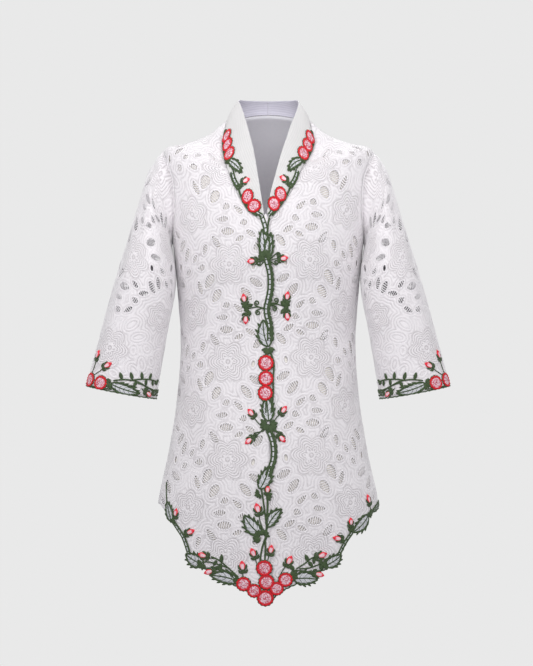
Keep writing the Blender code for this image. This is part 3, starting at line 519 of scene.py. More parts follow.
def blend_colour(tree, factor, a, b):
    """A mix of two colours, by the colour sockets that a mix node has among others."""
    node = tree.nodes.new("ShaderNodeMix")
    node.data_type = "RGBA"
    link(tree, factor, node.inputs["Factor"])
    for socket, colour in ((6, a), (7, b)):
        link(tree, colour if isinstance(colour, bpy.types.NodeSocket) else (*colour, 1.0),
             node.inputs[socket])
    return node.outputs[2]


def attribute(tree, name):
    """A stored field of the piece."""
    node = tree.nodes.new("ShaderNodeAttribute")
    node.attribute_name = name
    return node.outputs["Fac"]


def noise(tree, vector, scale, detail=2.0):
    """Noise, 0 to 1, over a vector."""
    node = tree.nodes.new("ShaderNodeTexNoise")
    link(tree, vector, node.inputs["Vector"])
    node.inputs["Scale"].default_value = scale
    node.inputs["Detail"].default_value = detail
    return node.outputs["Fac"]


def coordinates(tree, kind):
    """Texture coordinates of one kind."""
    return tree.nodes.new("ShaderNodeTexCoord").outputs[kind]


def components(tree, vector):
    """The x, y and z of a vector."""
    node = tree.nodes.new("ShaderNodeSeparateXYZ")
    tree.links.new(vector, node.inputs[0])
    return node.outputs


def new_group(name, inputs, outputs):
    """A node group with float or colour sockets; returns it with its two end nodes."""
    group = bpy.data.node_groups.new(name, "ShaderNodeTree")
    for socket, kind, value in inputs:
        made = group.interface.new_socket(socket, in_out="INPUT", socket_type=kind)
        if value is not None:
            made.default_value = value
    for socket, kind in outputs:
        group.interface.new_socket(socket, in_out="OUTPUT", socket_type=kind)
    return group, group.nodes.new("NodeGroupInput"), group.nodes.new("NodeGroupOutput")


def use_group(tree, group, **values):
    """Place a node group and feed its inputs."""
    node = tree.nodes.new("ShaderNodeGroup")
    node.node_tree = group
    for key, value in values.items():
        link(tree, value, node.inputs[key.replace("_", " ")])
    return node


def new_material(name, base, rough, sheen=0.0, specular=0.3):
    """A Principled material with its plain constants set on the shader."""
    material = bpy.data.materials.new(name)
    material.use_nodes = True
    material.diffuse_color = (*base, 1.0)
    shader = material.node_tree.nodes["Principled BSDF"]
    shader.inputs["Base Color"].default_value = (*base, 1.0)
    shader.inputs["Roughness"].default_value = rough
    shader.inputs["Specular IOR Level"].default_value = specular
    shader.inputs["Sheen Weight"].default_value = sheen
    shader.inputs["Sheen Roughness"].default_value = 0.5
    return material, material.node_tree, shader


def bump(tree, shader, height, strength, distance_m):
    """Raise the surface by a height field."""
    node = tree.nodes.new("ShaderNodeBump")
    node.inputs["Strength"].default_value = strength
    node.inputs["Distance"].default_value = distance_m
    link(tree, height, node.inputs["Height"])
    tree.links.new(node.outputs["Normal"], shader.inputs["Normal"])


# a plain weave: over and under threads from two crossed waves, with uneven yarn
weave, w_in, w_out = new_group(
    "plain weave",
    [("Vector", "NodeSocketVector", None), ("Threads", "NodeSocketFloat", 900.0)],
    [("Height", "NodeSocketFloat"), ("Slub", "NodeSocketFloat")])
warp, weft = [calc(weave, "SINE", calc(weave, "MULTIPLY", axis,
                                       calc(weave, "MULTIPLY", w_in.outputs["Threads"], math.pi)))
              for axis in components(weave, w_in.outputs["Vector"])[:2]]
over = calc(weave, "MULTIPLY", warp, weft)
slub = noise(weave, w_in.outputs["Vector"], 160.0, 3.0)
weave.links.new(calc(weave, "ADD", calc(weave, "MULTIPLY", over, 0.5),
                     calc(weave, "MULTIPLY", slub, 0.5)), w_out.inputs["Height"])
weave.links.new(slub, w_out.inputs["Slub"])

# cord lines: a wave along a distance field, and a mask of where the field is within its range
cords, c_in, c_out = new_group(
    "corded lines",
    [("Field", "NodeSocketFloat", 0.0), ("Pitch", "NodeSocketFloat", 3.2),
     ("From", "NodeSocketFloat", 0.0), ("To", "NodeSocketFloat", 10.0)],
    [("Cord", "NodeSocketFloat"), ("Range", "NodeSocketFloat")])
phase = calc(cords, "DIVIDE", c_in.outputs["Field"], c_in.outputs["Pitch"])
wave = calc(cords, "MULTIPLY_ADD",
            calc(cords, "SINE", calc(cords, "MULTIPLY", phase, 2 * math.pi)), 0.5, 0.5)
rise = calc(cords, "SUBTRACT", c_in.outputs["Field"], c_in.outputs["From"], clamp=True)
fall = calc(cords, "MULTIPLY", calc(cords, "SUBTRACT", c_in.outputs["To"],
                                    c_in.outputs["Field"]), 0.5, clamp=True)
cords.links.new(wave, c_out.inputs["Cord"])
cords.links.new(calc(cords, "MULTIPLY", rise, fall), c_out.inputs["Range"])


def lace_material(name, thread, groove):
    """Cotton cord: close ridges nested in the petals and round the gaps, soft grooves between.

    Painted shade fills each groove as (1 - ridge)^2, strongest in the petals and in broad
    patches.  The line round each petal is painted shade too, and a fine stipple breaks them up."""
    material, tree, shader = new_material(name, thread, 0.8, sheen=0.9, specular=0.2)
    inside_petal = calc(tree, "MULTIPLY_ADD", attribute(tree, "petal"), 1.2, 0.9, clamp=True)
    petal = use_group(tree, cords, Field=attribute(tree, "arc"), Pitch=5.2, From=-1.0, To=90.0)
    rim = use_group(tree, cords, Field=attribute(tree, "rim"), Pitch=5.6, From=0.0, To=30.0)
    uv = coordinates(tree, "UV")
    net = use_group(tree, weave, Vector=uv, Threads=420.0)
    outside = calc(tree, "SUBTRACT", 1.0, inside_petal)
    ridge = calc(tree, "ADD", calc(tree, "MULTIPLY", petal.outputs["Cord"], inside_petal),
                 calc(tree, "MULTIPLY", rim.outputs["Cord"], outside))
    groove_painted_shade = calc(tree, "POWER", calc(tree, "SUBTRACT", 1.0, ridge), 2.0)
    patch = noise(tree, uv, 24.0, 2.0)
    weight = calc(tree, "MULTIPLY_ADD", inside_petal, 0.5,
                  calc(tree, "MULTIPLY_ADD", patch, 1.6, -0.35, clamp=True), clamp=True)
    stipple = noise(tree, uv, 260.0, 1.0)
    border = calc(tree, "MULTIPLY_ADD", calc(tree, "ABSOLUTE", attribute(tree, "petal")), -0.7,
                  0.9, clamp=True)
    dark = calc(tree, "MAXIMUM", calc(tree, "MULTIPLY", groove_painted_shade, weight),
                calc(tree, "MULTIPLY", border, 0.7))
    dark = calc(tree, "MULTIPLY_ADD", stipple, calc(tree, "MULTIPLY_ADD", dark, 1.0, 0.16),
                calc(tree, "MULTIPLY", dark, 0.3), clamp=True)
    # the groove colour mixed in here is painted shade
    tree.links.new(blend_colour(tree, dark, thread, groove), shader.inputs["Base Color"])
    height = calc(tree, "MULTIPLY_ADD", net.outputs["Height"], 0.3, ridge)
    bump(tree, shader, height, 0.7, 0.0007)
    return material


# the second colour is painted shade for the grooves between the cords
LACE_WHITE = lace_material("cotton lace", (0.895, 0.862, 0.889), (0.53, 0.495, 0.515))


def cotton(name, dark, light):
    """Plain woven cotton with an uneven yarn."""
    material, tree, shader = new_material(name, light, 0.85, 0.15)
    cloth = use_group(tree, weave, Vector=coordinates(tree, "UV"), Threads=1400.0)
    tree.links.new(blend_colour(tree, cloth.outputs["Slub"], dark, light),
                   shader.inputs["Base Color"])
    bump(tree, shader, cloth.outputs["Height"], 0.3, 0.0003)
    return material


FRONT_LINING = cotton("front lining", (0.95, 0.905, 0.85), (0.98, 0.945, 0.90))
# the back lining is the same cloth as the front one; its cooler, slightly darker lavender grey is
# painted shade for the inside of the back neck
SHADED_BACK_LINING = cotton("shaded back lining", (0.88, 0.865, 0.93), (0.95, 0.935, 0.98))


# =========================================================================================
# FRONTS OF THE BODY
# Two lace panels, right over left, from the shoulder and neck seams to a hem that falls to
# a point at the middle.  Each hangs loose over its own woven lining, joined at the seams.
# =========================================================================================

SEAM = 0.3                      # left open between two panels, half on each
SHOULDER_TOP = 49.6
SIDE_HEM = -690.0
HEM_POINTS = 110
LACE_SCALLOP = 1.6              # depth of the small scallops along a hem
# how far a front's closing edge runs past the middle, wearer's right (-1) and left (1)
LACE_LAP = {-1: 3.0, 1: 8.0}
LINING_LAP = {-1: -11.0, 1: 8.0}
LINING_RISE = 12.0              # how far a lining's hem stays above the lace
LINING_WALL = 1.0               # thickness of a lining
# the neck seam: height, then the distance from the middle, wearer's right and left
NECK_SEAM = np.array((
    (18, 77, 77), (-2, 80, 80), (-24, 84, 85), (-50, 82, 78), (-79, 74, 61),
    (-106, 63, 49), (-137, 49, 32), (-158, 36, 17), (-173, 14, 3),
), float)
# the hem: height, then the distance from the middle, wearer's right and left
FRONT_HEM = np.array((
    (-863, 4, 4), (-850, 19, 11), (-839, 38, 25), (-830, 58, 42), (-822, 73, 62),
    (-810, 96, 83), (-798, 118, 108), (-784, 138, 125), (-764, 147, 136), (-742, 157, 149),
    (-726, 168, 170), (-708, 182, 188),
), float)
# the armhole oval: its middle, back and up, then half its depth and half its height
ARMHOLE_BACK, ARMHOLE_HEIGHT, ARMHOLE_DEEP, ARMHOLE_TALL = 2.0, -122.0, 50.0, 83.0


def flat_from_side(y, z, front):
    """The (across, level) seen at (y, z) from the side, its level found by halving."""
    low, high = np.full(y.shape, -300.0), np.full(y.shape, -60.0)
    for _ in range(30):
        level = (low + high) / 2
        _, ahead, behind, z_front, z_side, z_back = read_rows(BODY, level)
        cosine = np.clip(-y / ahead if front else y / behind, 0, 1)
        below = z_side + ((z_front if front else z_back) - z_side) * cosine**2 < z
        low, high = np.where(below, level, low), np.where(below, high, level)
    return flat_at(np.arccos(cosine), level, front)


def armhole_flat(phi, shrink=0.0):
    """The armhole oval at a turn phi from its top, on the front and on the back, flat."""
    y = ARMHOLE_BACK - (ARMHOLE_DEEP - shrink) * np.sin(phi)
    z = ARMHOLE_HEIGHT + (ARMHOLE_TALL - shrink) * np.cos(phi)
    return (flat_from_side(np.minimum(y, 0), z, True), flat_from_side(np.maximum(y, 0), z, False),
            y < 0)


def panel_sides(front, side, rise):
    """Side seam, armhole and shoulder of a half panel, flat, from the hem upwards."""
    levels = np.linspace(SIDE_HEM + rise, -216, 60)
    seam = np.stack([side * (quarter_girth(levels, front) - SEAM / 2), levels], axis=-1)
    turns = np.linspace(math.pi, 0 if front else 2 * math.pi, 44)[1:-1]
    hole = armhole_flat(turns)[0 if front else 1] * (side, 1)
    tops = np.linspace(-68, SHOULDER_TOP, 24)
    shoulder = np.stack([side * (quarter_girth(tops, front) - SEAM / 2), tops], axis=-1)
    return np.vstack([seam, hole, shoulder])


def scalloped(line, depth, pitch):
    """Move a line in and out sideways: depth times |sin| of the distance along it."""
    return line + left_of(line) * (depth * np.abs(np.sin(walked(line) * math.pi / pitch)))[:, None]


def front_outline(side, lap, rise, scallop):
    """Hem, side, armhole, shoulder, neck seam and front edge of a front, flat."""
    column = 1 if side < 0 else 2
    foot = -side * lap
    hem = FRONT_HEM[FRONT_HEM[:, column] > 8 - lap] if lap < 0 else FRONT_HEM
    line = spline(np.stack([side * hem[:, column], hem[:, 0]], axis=-1), HEM_POINTS)
    hem_flat = flat_from_view(line[:, 0], line[:, 1]) + (0, rise)
    if scallop:
        hem_flat = scalloped(hem_flat, -side * scallop, 10.0)
    view = spline(NECK_SEAM[:, (column, 0)] * (side, 1), 60)[1:]
    neck = flat_from_view(view[:, 0], view[:, 1])
    if lap < 0:
        neck = neck[side * neck[:, 0] > 14 - lap]
    away = left_of(neck) * side
    moved = body_point(neck + away, 0, True) - body_point(neck, 0, True)
    neck = neck + away * 0.5 / np.linalg.norm(moved, axis=1, keepdims=True)
    top = np.array([foot, neck[-1, 1] - (4 if lap > 0 else 18)])
    edge = even_line([top, (foot, hem_flat[0, 1])], 5.0)
    if lap > 0 and side < 0:
        corner = flat_from_view(np.array([-9.0, -4.0]), np.array([-166.0, -162.0]))
        edge = np.vstack([corner, edge])
    return np.vstack([hem_flat, panel_sides(True, side, rise), neck, edge])


def lining_hang(flat, seams):
    """How far a lining lies inside the lace: 0.8 at the seams, easing to 1.6 by 10 mm."""
    near = np.concatenate([np.linalg.norm(block[:, None] - seams[None], axis=2).min(axis=1)
                           for block in np.array_split(flat, max(1, len(flat) // 500))])
    return 0.8 + 0.8 * ease(near / 10.0)


def front_point(flat, out, side):
    """On one front; the left one dips under the right one at the middle."""
    return body_point(flat, out - (drop_under(flat[:, 0]) if side > 0 else 0.0), True)


SIDES = ((-1, "right"), (1, "left"))
# where the lace's repeat starts on each front (across, level), and where its gaps end
PATTERN = {-1: (-75.0, -428.0), 1: (80.0, -420.0)}
LOWEST_GAP = -775.0
FINE = 4.6        # between the points of the lace's mesh
COARSE = 12.0                            # and of a lining's

for side, word in SIDES:
    on_panel = partial(front_point, side=side)
    outline = front_outline(side, LACE_LAP[side], 0.0, LACE_SCALLOP)
    gaps, bars = lace_gaps(outline, PATTERN[side], -side, LOWEST_GAP)
    if side > 0:                         # none under the right front's edge
        kept = [k for k, gap in enumerate(gaps) if gap[:, 0].min() > 10]
        gaps, bars = [gaps[k] for k in kept], [bars[k] for k in kept]
    panel = lace_panel(f"lace_front_{word}_cloth", LACE_WHITE, outline, gaps, on_panel,
                       np.array(PATTERN[side]), -side, FINE)
    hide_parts(f"lace_front_{word}")
    threads = thread_bars(f"lace_front_{word}_bars", LACE_WHITE, bars, on_panel)

    outline = front_outline(side, LINING_LAP[side], LINING_RISE, 0.0)
    flat, faces = triangulate(outline, [], fill_points(outline, [], COARSE, 5.0))
    hang = lining_hang(flat, panel_sides(True, side, LINING_RISE)[4:])
    lining = wall(f"lining_front_{word}_cloth", FRONT_LINING, flat, faces, on_panel,
                  -hang, -hang - LINING_WALL)
    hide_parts(f"lining_front_{word}")


# =========================================================================================
# BACK OF THE BODY
# One lace panel over its lining, with a level curved hem, cut square at the neck seam.
# =========================================================================================

BACK_HEM = -715.0
BACK_HEM_POINTS = 59            # in half of the hem
BACK_PATTERN = (0.0, -400.0)
# the back stand of the collar: turn round the neck from the centre back in degrees, then
# its free edge: distance from the middle, back, height
BACK_STAND = np.array((
    (0, 0, 51, 61), (24, 26, 46, 61), (46, 45, 32, 60), (68, 54, 14, 58), (90, 54, -4, 50),
), float)


def on_back(flat, out):
    """On the back of the figure."""
    return body_point(flat, out, False)


def back_outline(rise, scallop):
    """The back panel, flat: hem, side, armhole, shoulder and neck, then mirrored."""
    share = np.linspace(0, 1, BACK_HEM_POINTS + 1)[:-1]
    reach = quarter_girth(np.array([SIDE_HEM]), False)[0] - SEAM / 2
    hem = np.stack([share * reach, BACK_HEM + rise + (SIDE_HEM - BACK_HEM) * share**2], axis=-1)
    if scallop:
        hem = scalloped(hem, -scallop, 10.0)
    turn = np.radians(spline(BACK_STAND, 40)[:, 0])[-2::-1]
    neck = flat_at(turn, np.full(len(turn), SHOULDER_TOP), False)
    half = np.vstack([hem, panel_sides(False, 1, rise), neck])
    return np.vstack([half, half[1:-1][::-1] * (-1, 1)])


outline = back_outline(0.0, LACE_SCALLOP)
back_hem = outline[:BACK_HEM_POINTS]
gaps, bars = lace_gaps(outline, BACK_PATTERN, 1, BACK_HEM + 26)
panel = lace_panel("lace_back_cloth", LACE_WHITE, outline, gaps, on_back,
                   np.array(BACK_PATTERN), 1, FINE * 1.05)
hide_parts("lace_back")
threads = thread_bars("lace_back_bars", LACE_WHITE, bars, on_back)

outline = back_outline(LINING_RISE, 0.0)
flat, faces = triangulate(outline, [], fill_points(outline, [], COARSE, 5.0))
seams = np.vstack([panel_sides(False, side, LINING_RISE)[4:] for side in (-1, 1)])
hang = lining_hang(flat, seams)
lining = wall("lining_back_cloth", SHADED_BACK_LINING, flat, faces, on_back,
              -hang, -hang - LINING_WALL)
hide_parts("lining_back")


# =========================================================================================
# SLEEVES
# Elbow-long, wide and unlined, in the same lace, set into the armholes.  Each is drawn
# flat by the distance round it from its outer fold and the distance along it.
# =========================================================================================

# along, outer x, outer z, inner x, inner z, forward, half depth
SLEEVE = np.array((
    (14, 205, -50, 177, -207, 0, 57),
    (42, 221, -78, 178, -216, 6, 64),
    (84, 233, -118, 175, -232, 18, 69),
    (134, 248, -170, 171, -256, 30, 71),
    (186, 263, -220, 170, -288, 38, 70),
    (246, 281, -279, 176, -330, 42, 67),
    (304, 297, -336, 185, -374, 43, 64),
    (362, 312, -393, 193, -420, 43, 61),
    (430, 330, -458, 203, -482, 42, 61),
    (446, 334, -473, 205, -497, 42, 61),
), float)
SLEEVE_ROUND = 62.0             # flat distance round a sleeve for each radian
ROUND_POINTS, ALONG_POINTS = 50, 98
# folds along a sleeve: round, along, length, width, depth, turn in degrees
SLEEVE_FOLDS = (
    (52, 120, 170, 30, 2.2, 78),
    (92, 150, 190, 34, 2.4, 96),
    (130, 210, 220, 36, 2.2, 84),
    (70, 320, 190, 34, 1.8, 92),
    (24, 260, 180, 30, 1.6, 86),
    (150, 120, 120, 30, 2.0, 60),
    (-60, 150, 200, 34, 2.2, 84),
    (-110, 230, 220, 36, 2.2, 94),
    (-30, 320, 180, 30, 1.6, 90),
)


def sleeve_point(flat, out, side):
    """A ring (middle + way r cos phi + forward d sin phi), run in from the armhole edge."""
    phi, along = flat[:, 0] / SLEEVE_ROUND, flat[:, 1]
    first = SLEEVE[0, 0]
    ox, oz, ix, iz, ahead, deep = read_rows(SLEEVE, np.maximum(along, first))
    reach = np.hypot(ox - ix, oz - iz) / 2
    way = np.stack([(ox - ix) / (2 * reach), np.zeros_like(ox), (oz - iz) / (2 * reach)], axis=-1)
    middle = np.stack([(ox + ix) / 2, -ahead, (oz + iz) / 2], axis=-1)
    grow = out - LACE - bells(flat[:, 0], along, SLEEVE_FOLDS)
    ring = (middle + way * ((reach + grow) * np.cos(phi))[:, None]
            + np.array([0, -1, 0]) * ((deep + grow) * np.sin(phi))[:, None])
    tuck = (LACE - np.minimum(out, LACE)) * ease(np.abs(phi) / 0.9)
    near = along < first
    edge = np.zeros_like(ring)
    if near.any():
        front, back, is_front = armhole_flat(phi[near], SEAM + tuck[near])
        lift = (out + tuck)[near]
        edge[near] = np.where(is_front[:, None], body_point(front, lift, True),
                              body_point(back, lift, False))
    share = np.where(near, np.clip(along / first, 0, 1), 1.0)[:, None]
    return (edge * (1 - share) + ring * share) * (side, 1, 1)


def sleeve_outline(front):
    """Half a sleeve, flat: armhole edge, underarm seam, cuff and outer fold."""
    sign, half, lane = (1 if front else -1), math.pi * SLEEVE_ROUND, SEAM / 2
    rounds = np.linspace(lane, half - lane, ROUND_POINTS) * sign
    end = SLEEVE[-1, 0]
    along = np.linspace(0, end, ALONG_POINTS + 2)[1:-1]
    cuff = np.stack([rounds[::-1], np.full(ROUND_POINTS, end)], axis=-1)
    cuff = scalloped(cuff, sign * 1.4, 10.0)
    return np.vstack([np.stack([rounds, np.zeros(ROUND_POINTS)], axis=-1),
                      np.stack([np.full(ALONG_POINTS, rounds[-1]), along], axis=-1), cuff,
                      np.stack([np.full(ALONG_POINTS, rounds[0]), along[::-1]], axis=-1)])


for side, word in SIDES:
    on_sleeve = partial(sleeve_point, side=side)
    for front, half in ((True, "front"), (False, "back")):
        sign = 1 if front else -1
        outline = sleeve_outline(front)
        origin = (60.0 * sign, 190.0)
        gaps, bars = lace_gaps(outline, origin, sign, 8.0, 300.0)
        panel = lace_panel(f"sleeve_{word}_{half}_cloth", LACE_WHITE, outline, gaps, on_sleeve,
                           np.array(origin), sign, FINE)
        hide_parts(f"sleeve_{word}_{half}")
        threads = thread_bars(f"sleeve_{word}_{half}_bars", LACE_WHITE, bars, on_sleeve)


# =========================================================================================
# COLLAR BAND
# A band in two halves, seamed at the centre back.  It stands up round the neck and lies
# along the upper front edges.  Its outer face is the same lace, pressed over a firm cloth.
# =========================================================================================

# the free edge facing each row of the neck seam: height, right, left, forward
NECK_EDGE = np.array((
    (50, 52, 56, 4), (30, 45, 51, 28), (8, 39, 42, 48), (-18, 32, 34, 67),
    (-50, 25, 23.5, 86), (-84, 19.5, 14.5, 103), (-118, 14, 5.5, 117), (-145, 10, 0, 126),
    (-163, 7, -2.5, 130),
), float)


def collar_rails(side):
    """The seam and the free edge of a collar half in space, from its foot to the back."""
    column = 1 if side < 0 else 2
    ahead, behind = 15, 7                                # points on each part
    view = spline(NECK_SEAM[:, (column, 0)] * (side, 1), ahead)
    flat = flat_from_view(view[:, 0], view[:, 1])
    dip = drop_under(flat[:, 0]) if side > 0 else np.zeros(len(flat))
    across, level = flat[:, 0], flat[:, 1]
    seam_front = figure(across / quarter_girth(level, True), level, True)
    normal = body_point(flat, np.ones(ahead), True) - body_point(flat, np.zeros(ahead), True)
    seam_front = seam_front - normal * (dip + bells(across, level, CREASES))[:, None]
    edge_front = spline(NECK_EDGE[:, (column, 3, 0)], ahead)
    edge_front[:, 1] -= dip
    rows = spline(BACK_STAND, behind)
    turn = np.radians(rows[:, 0])
    seam_back = figure(np.interp(turn, TURNS, SHARES), np.full(behind, BODY[-1, 0]), False)
    seam = np.vstack([seam_front[::-1], seam_back[-2::-1] * (side, 1, 1)])
    edge = np.vstack([edge_front[::-1] * (side, -1, 1), rows[-2::-1, 1:] * (side, 1, 1)])
    return seam, edge


RAILS = {side: collar_rails(side) for side in (-1, 1)}
# the distance along each half, midway between its two edges
PLACES = {side: walked((seam + edge) / 2) for side, (seam, edge) in RAILS.items()}


def on_rail(side, rail, along):
    """A point along one edge of a collar half: 0 is its seam, 1 its free edge."""
    return np.stack([smooth_column(along, PLACES[side], RAILS[side][rail][:, k])
                     for k in range(3)], axis=-1)


COLLAR_ARCH = 3.0               # how far the band bows out midway between its edges


def collar_point(flat, out, side):
    """Seam + (free edge - seam) share + normal (4 arch share (1 - share) + out).

    The arch grows over the first 60 mm from the foot, and within 20 mm of the centre back
    the band runs square to its seam."""
    end = PLACES[side][-1]
    along = np.clip(flat[:, 0], 0, end)
    low, high = on_rail(side, 0, along), on_rail(side, 1, along)
    share = flat[:, 1] / np.linalg.norm(high - low, axis=1)
    after, before = np.clip(along + 2, 0, end), np.clip(along - 2, 0, end)
    run = sum(on_rail(side, rail, after) - on_rail(side, rail, before) for rail in (0, 1))
    free = np.clip((end - along) / 20.0, 0, 1)
    one = np.ones_like(free)
    run = run * np.stack([one, free, free], axis=-1)
    over = (high - low) * np.stack([free, one, one], axis=-1)
    normal = np.cross(run, over) * side
    normal /= np.linalg.norm(normal, axis=1, keepdims=True)
    arch = 4 * COLLAR_ARCH * share * (1 - share) * np.clip(along / 60.0, 0, 1)
    return low + (high - low) * share[:, None] + normal * (arch + out)[:, None]


RIB = 0.0044                    # metres from rib to rib

band_cotton, tree, shader = new_material("collar lace", (0.90, 0.885, 0.885), 0.72, 0.25)
uv = coordinates(tree, "UV")
rib = calc(tree, "SINE", calc(tree, "MULTIPLY", components(tree, uv)[1], 2 * math.pi / RIB))
rib = calc(tree, "MULTIPLY_ADD", rib, 0.5, 0.5)
net = use_group(tree, weave, Vector=uv, Threads=520.0)
# the troughs between ribs take painted shade, and a noise mottles the tone
ridge_shade_and_mottle = calc(tree, "MULTIPLY_ADD", rib, 0.45, calc(tree, "MULTIPLY", noise(tree, uv, 40.0), 0.6),
            clamp=True)
# outer face painted darker than the lace elsewhere: painted shade that holds back the strong lamp
# light on the collar
outer = blend_colour(tree, ridge_shade_and_mottle, (0.645, 0.637, 0.637), (0.73, 0.72, 0.715))
# inner face painted lavender grey: painted shade inside the back stand
inner = blend_colour(tree, ridge_shade_and_mottle, (0.56, 0.54, 0.64), (0.74, 0.72, 0.81))
tree.links.new(blend_colour(tree, attribute(tree, "face"), inner, outer),
               shader.inputs["Base Color"])
bump(tree, shader, calc(tree, "MULTIPLY_ADD", net.outputs["Height"], 0.4, rib), 0.4, 0.0005)


def grid_faces(rows, columns):
    """Triangles of an open grid of points, row by row."""
    at = np.arange(rows * columns).reshape(rows, columns)
    a, b, c, d = at[:-1, :-1], at[1:, :-1], at[1:, 1:], at[:-1, 1:]
    return np.concatenate([np.stack([a, b, c], axis=-1).reshape(-1, 3),
                           np.stack([a, c, d], axis=-1).reshape(-1, 3)])


BAND_WALL = 1.6                 # thickness of the band
BAND_GRID = (150, 22)           # points along and across

for side, word in SIDES:
    along = np.linspace(0, PLACES[side][-1] - SEAM / 2, BAND_GRID[0])
    wide = np.linalg.norm(on_rail(side, 1, along) - on_rail(side, 0, along), axis=1)
    share = np.broadcast_to(np.linspace(0, 1, BAND_GRID[1]), BAND_GRID)
    flat = np.stack([np.broadcast_to(along[:, None], BAND_GRID), wide[:, None] * share], axis=-1)
    thin = LACE * np.clip(share.ravel() * 4, 0, 1)
    lip = 0.5 * np.exp(-((1 - share.ravel()) / 0.05) ** 2)
    band = wall(f"collar_{word}_cloth", band_cotton, flat.reshape(-1, 2), grid_faces(*BAND_GRID),
                partial(collar_point, side=side), thin + lip, thin - BAND_WALL)
    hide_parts(f"collar_{word}")


# =========================================================================================
# EMBROIDERY
# Satin stitch over the lace: a vine down the closing edge, borders round the front hem,
# the collar and the cuffs.  Round frilled flowers in red, pink and white, buds with green
# calyxes, saw-edged leaves filled with open hatching, ladder stems and curled tendrils.
# =========================================================================================

LIFT = 2.1                      # the stitching starts this far out from the back of the lace
THREAD = 0.0011                 # metres from thread to thread


def satin(name, dark, light):
    """Satin stitch: mottled thread with close ridges along U, painted shade in the dips between
    them.
    """
    material, tree, shader = new_material(name, light, 0.42, 0.03, specular=0.28)
    along = components(tree, coordinates(tree, "UV"))[0]
    wave = calc(tree, "SINE", calc(tree, "MULTIPLY", along, 2 * math.pi / THREAD))
    ridge = calc(tree, "MULTIPLY_ADD", wave, 0.5, 0.5)
    mottle = noise(tree, coordinates(tree, "Object"), 240.0)
    # lighter on each ridge and darker in the dips between: painted shade, with the mottle as the
    # thread's own tone
    ridge_shade_and_mottle = calc(tree, "MULTIPLY_ADD", ridge, 0.3, calc(tree, "MULTIPLY", mottle, 0.8), clamp=True)
    tree.links.new(blend_colour(tree, ridge_shade_and_mottle, dark, light), shader.inputs["Base Color"])
    bump(tree, shader, ridge, 0.5, 0.0003)
    return material


# each dark colour serves both the thread's mottle and the painted shade between its stitch ridges
green_satin = satin("green satin stitch", (0.010, 0.024, 0.010), (0.090, 0.142, 0.056))
pale_satin = satin("pale satin stitch", (0.34, 0.35, 0.40), (0.90, 0.90, 0.93))

# flowers: UV is (turn, share of the radius), pink and white specks inside a red rim
flower_satin, tree, shader = new_material("flower satin", (0.7, 0.1, 0.15), 0.5, 0.03,
                                          specular=0.25)
turn, share = components(tree, coordinates(tree, "UV"))[:2]
dots = calc(tree, "MULTIPLY_ADD", noise(tree, coordinates(tree, "Object"), 420.0, 1.0), 5.0, -1.9,
            clamp=True)
heart = blend_colour(tree, dots, (0.60, 0.05, 0.10), (0.90, 0.66, 0.74))
petal = blend_colour(tree, noise(tree, coordinates(tree, "Object"), 300.0), (0.46, 0.006, 0.012),
                     (0.90, 0.022, 0.04))
rim = calc(tree, "MULTIPLY_ADD", share, 12.0, -7.9, clamp=True)
tree.links.new(blend_colour(tree, rim, heart, petal), shader.inputs["Base Color"])
stitch = calc(tree, "SINE", calc(tree, "MULTIPLY", turn, 2 * math.pi * 46))
bump(tree, shader, calc(tree, "MULTIPLY_ADD", stitch, 0.4, dots), 0.5, 0.0005)

# buds: UV is (share along from the calyx, share across), pale inside a red edge and tip
bud_satin, tree, shader = new_material("bud satin", (0.85, 0.4, 0.45), 0.5, 0.03, specular=0.25)
along, across = components(tree, coordinates(tree, "UV"))[:2]
edge = calc(tree, "MULTIPLY_ADD", calc(tree, "ABSOLUTE", across), 5.0, -2.5, clamp=True)
tip = calc(tree, "MULTIPLY_ADD", along, 5.0, -2.6, clamp=True)
mottle = noise(tree, coordinates(tree, "Object"), 300.0)
pale = blend_colour(tree, mottle, (0.85, 0.44, 0.52), (0.93, 0.78, 0.83))
tree.links.new(blend_colour(tree, calc(tree, "MAXIMUM", edge, tip), pale, (0.84, 0.03, 0.055)),
               shader.inputs["Base Color"])
bump(tree, shader, mottle, 0.4, 0.0004)


def stripe(path, half, crown, lanes=7):
    """A raised strip along a path: crown (0.35 + 0.65 sqrt(1 - s^2)) at a share s across.

    Gives its flat points, heights and uv, a closed loop of them for each point of the path."""
    path = np.asarray(path, float)
    half = np.broadcast_to(np.asarray(half, float), (len(path),))
    crown = np.broadcast_to(np.asarray(crown, float), (len(path),))
    share = np.linspace(-1, 1, lanes)
    across = np.concatenate([share, [1.0, -1.0]])
    dome = np.concatenate([0.35 + 0.65 * np.sqrt(np.clip(1 - share**2, 0, 1)), [0.0, 0.0]])
    flat = path[:, None, :] + left_of(path)[:, None, :] * (half[:, None] * across)[..., None]
    uv = np.stack(np.broadcast_arrays(walked(path)[:, None] * 0.001, across), axis=-1)
    return flat, crown[:, None] * dome, uv


def lobe(root, tip, width, bend=0.0, crown=1.5):
    """A small solid leaf: half width w/2 sin(pi t^0.85)^0.7 along a bent axis."""
    root, tip = np.asarray(root, float), np.asarray(tip, float)
    t = np.linspace(0, 1, 11)
    run = tip - root
    path = root + run * t[:, None] + np.array([-run[1], run[0]]) * (
        bend * np.sin(math.pi * t))[:, None]
    half = np.maximum(width / 2 * np.sin(math.pi * t**0.85) ** 0.7, 0.15)
    return stripe(path, half, crown * np.clip(half / 2, 0.25, 1))


def clump(at, way, size, count=5):
    """A tuft of solid leaves fanned about a direction given in degrees."""
    at = np.asarray(at, float)
    turns = np.radians(way + np.linspace(-78, 78, count))
    return [lobe(at, at + size * (1 - 0.12 * (k % 2)) * np.array([math.cos(turn), math.sin(turn)]),
                 size * 0.55, 0.05) for k, turn in enumerate(turns)]


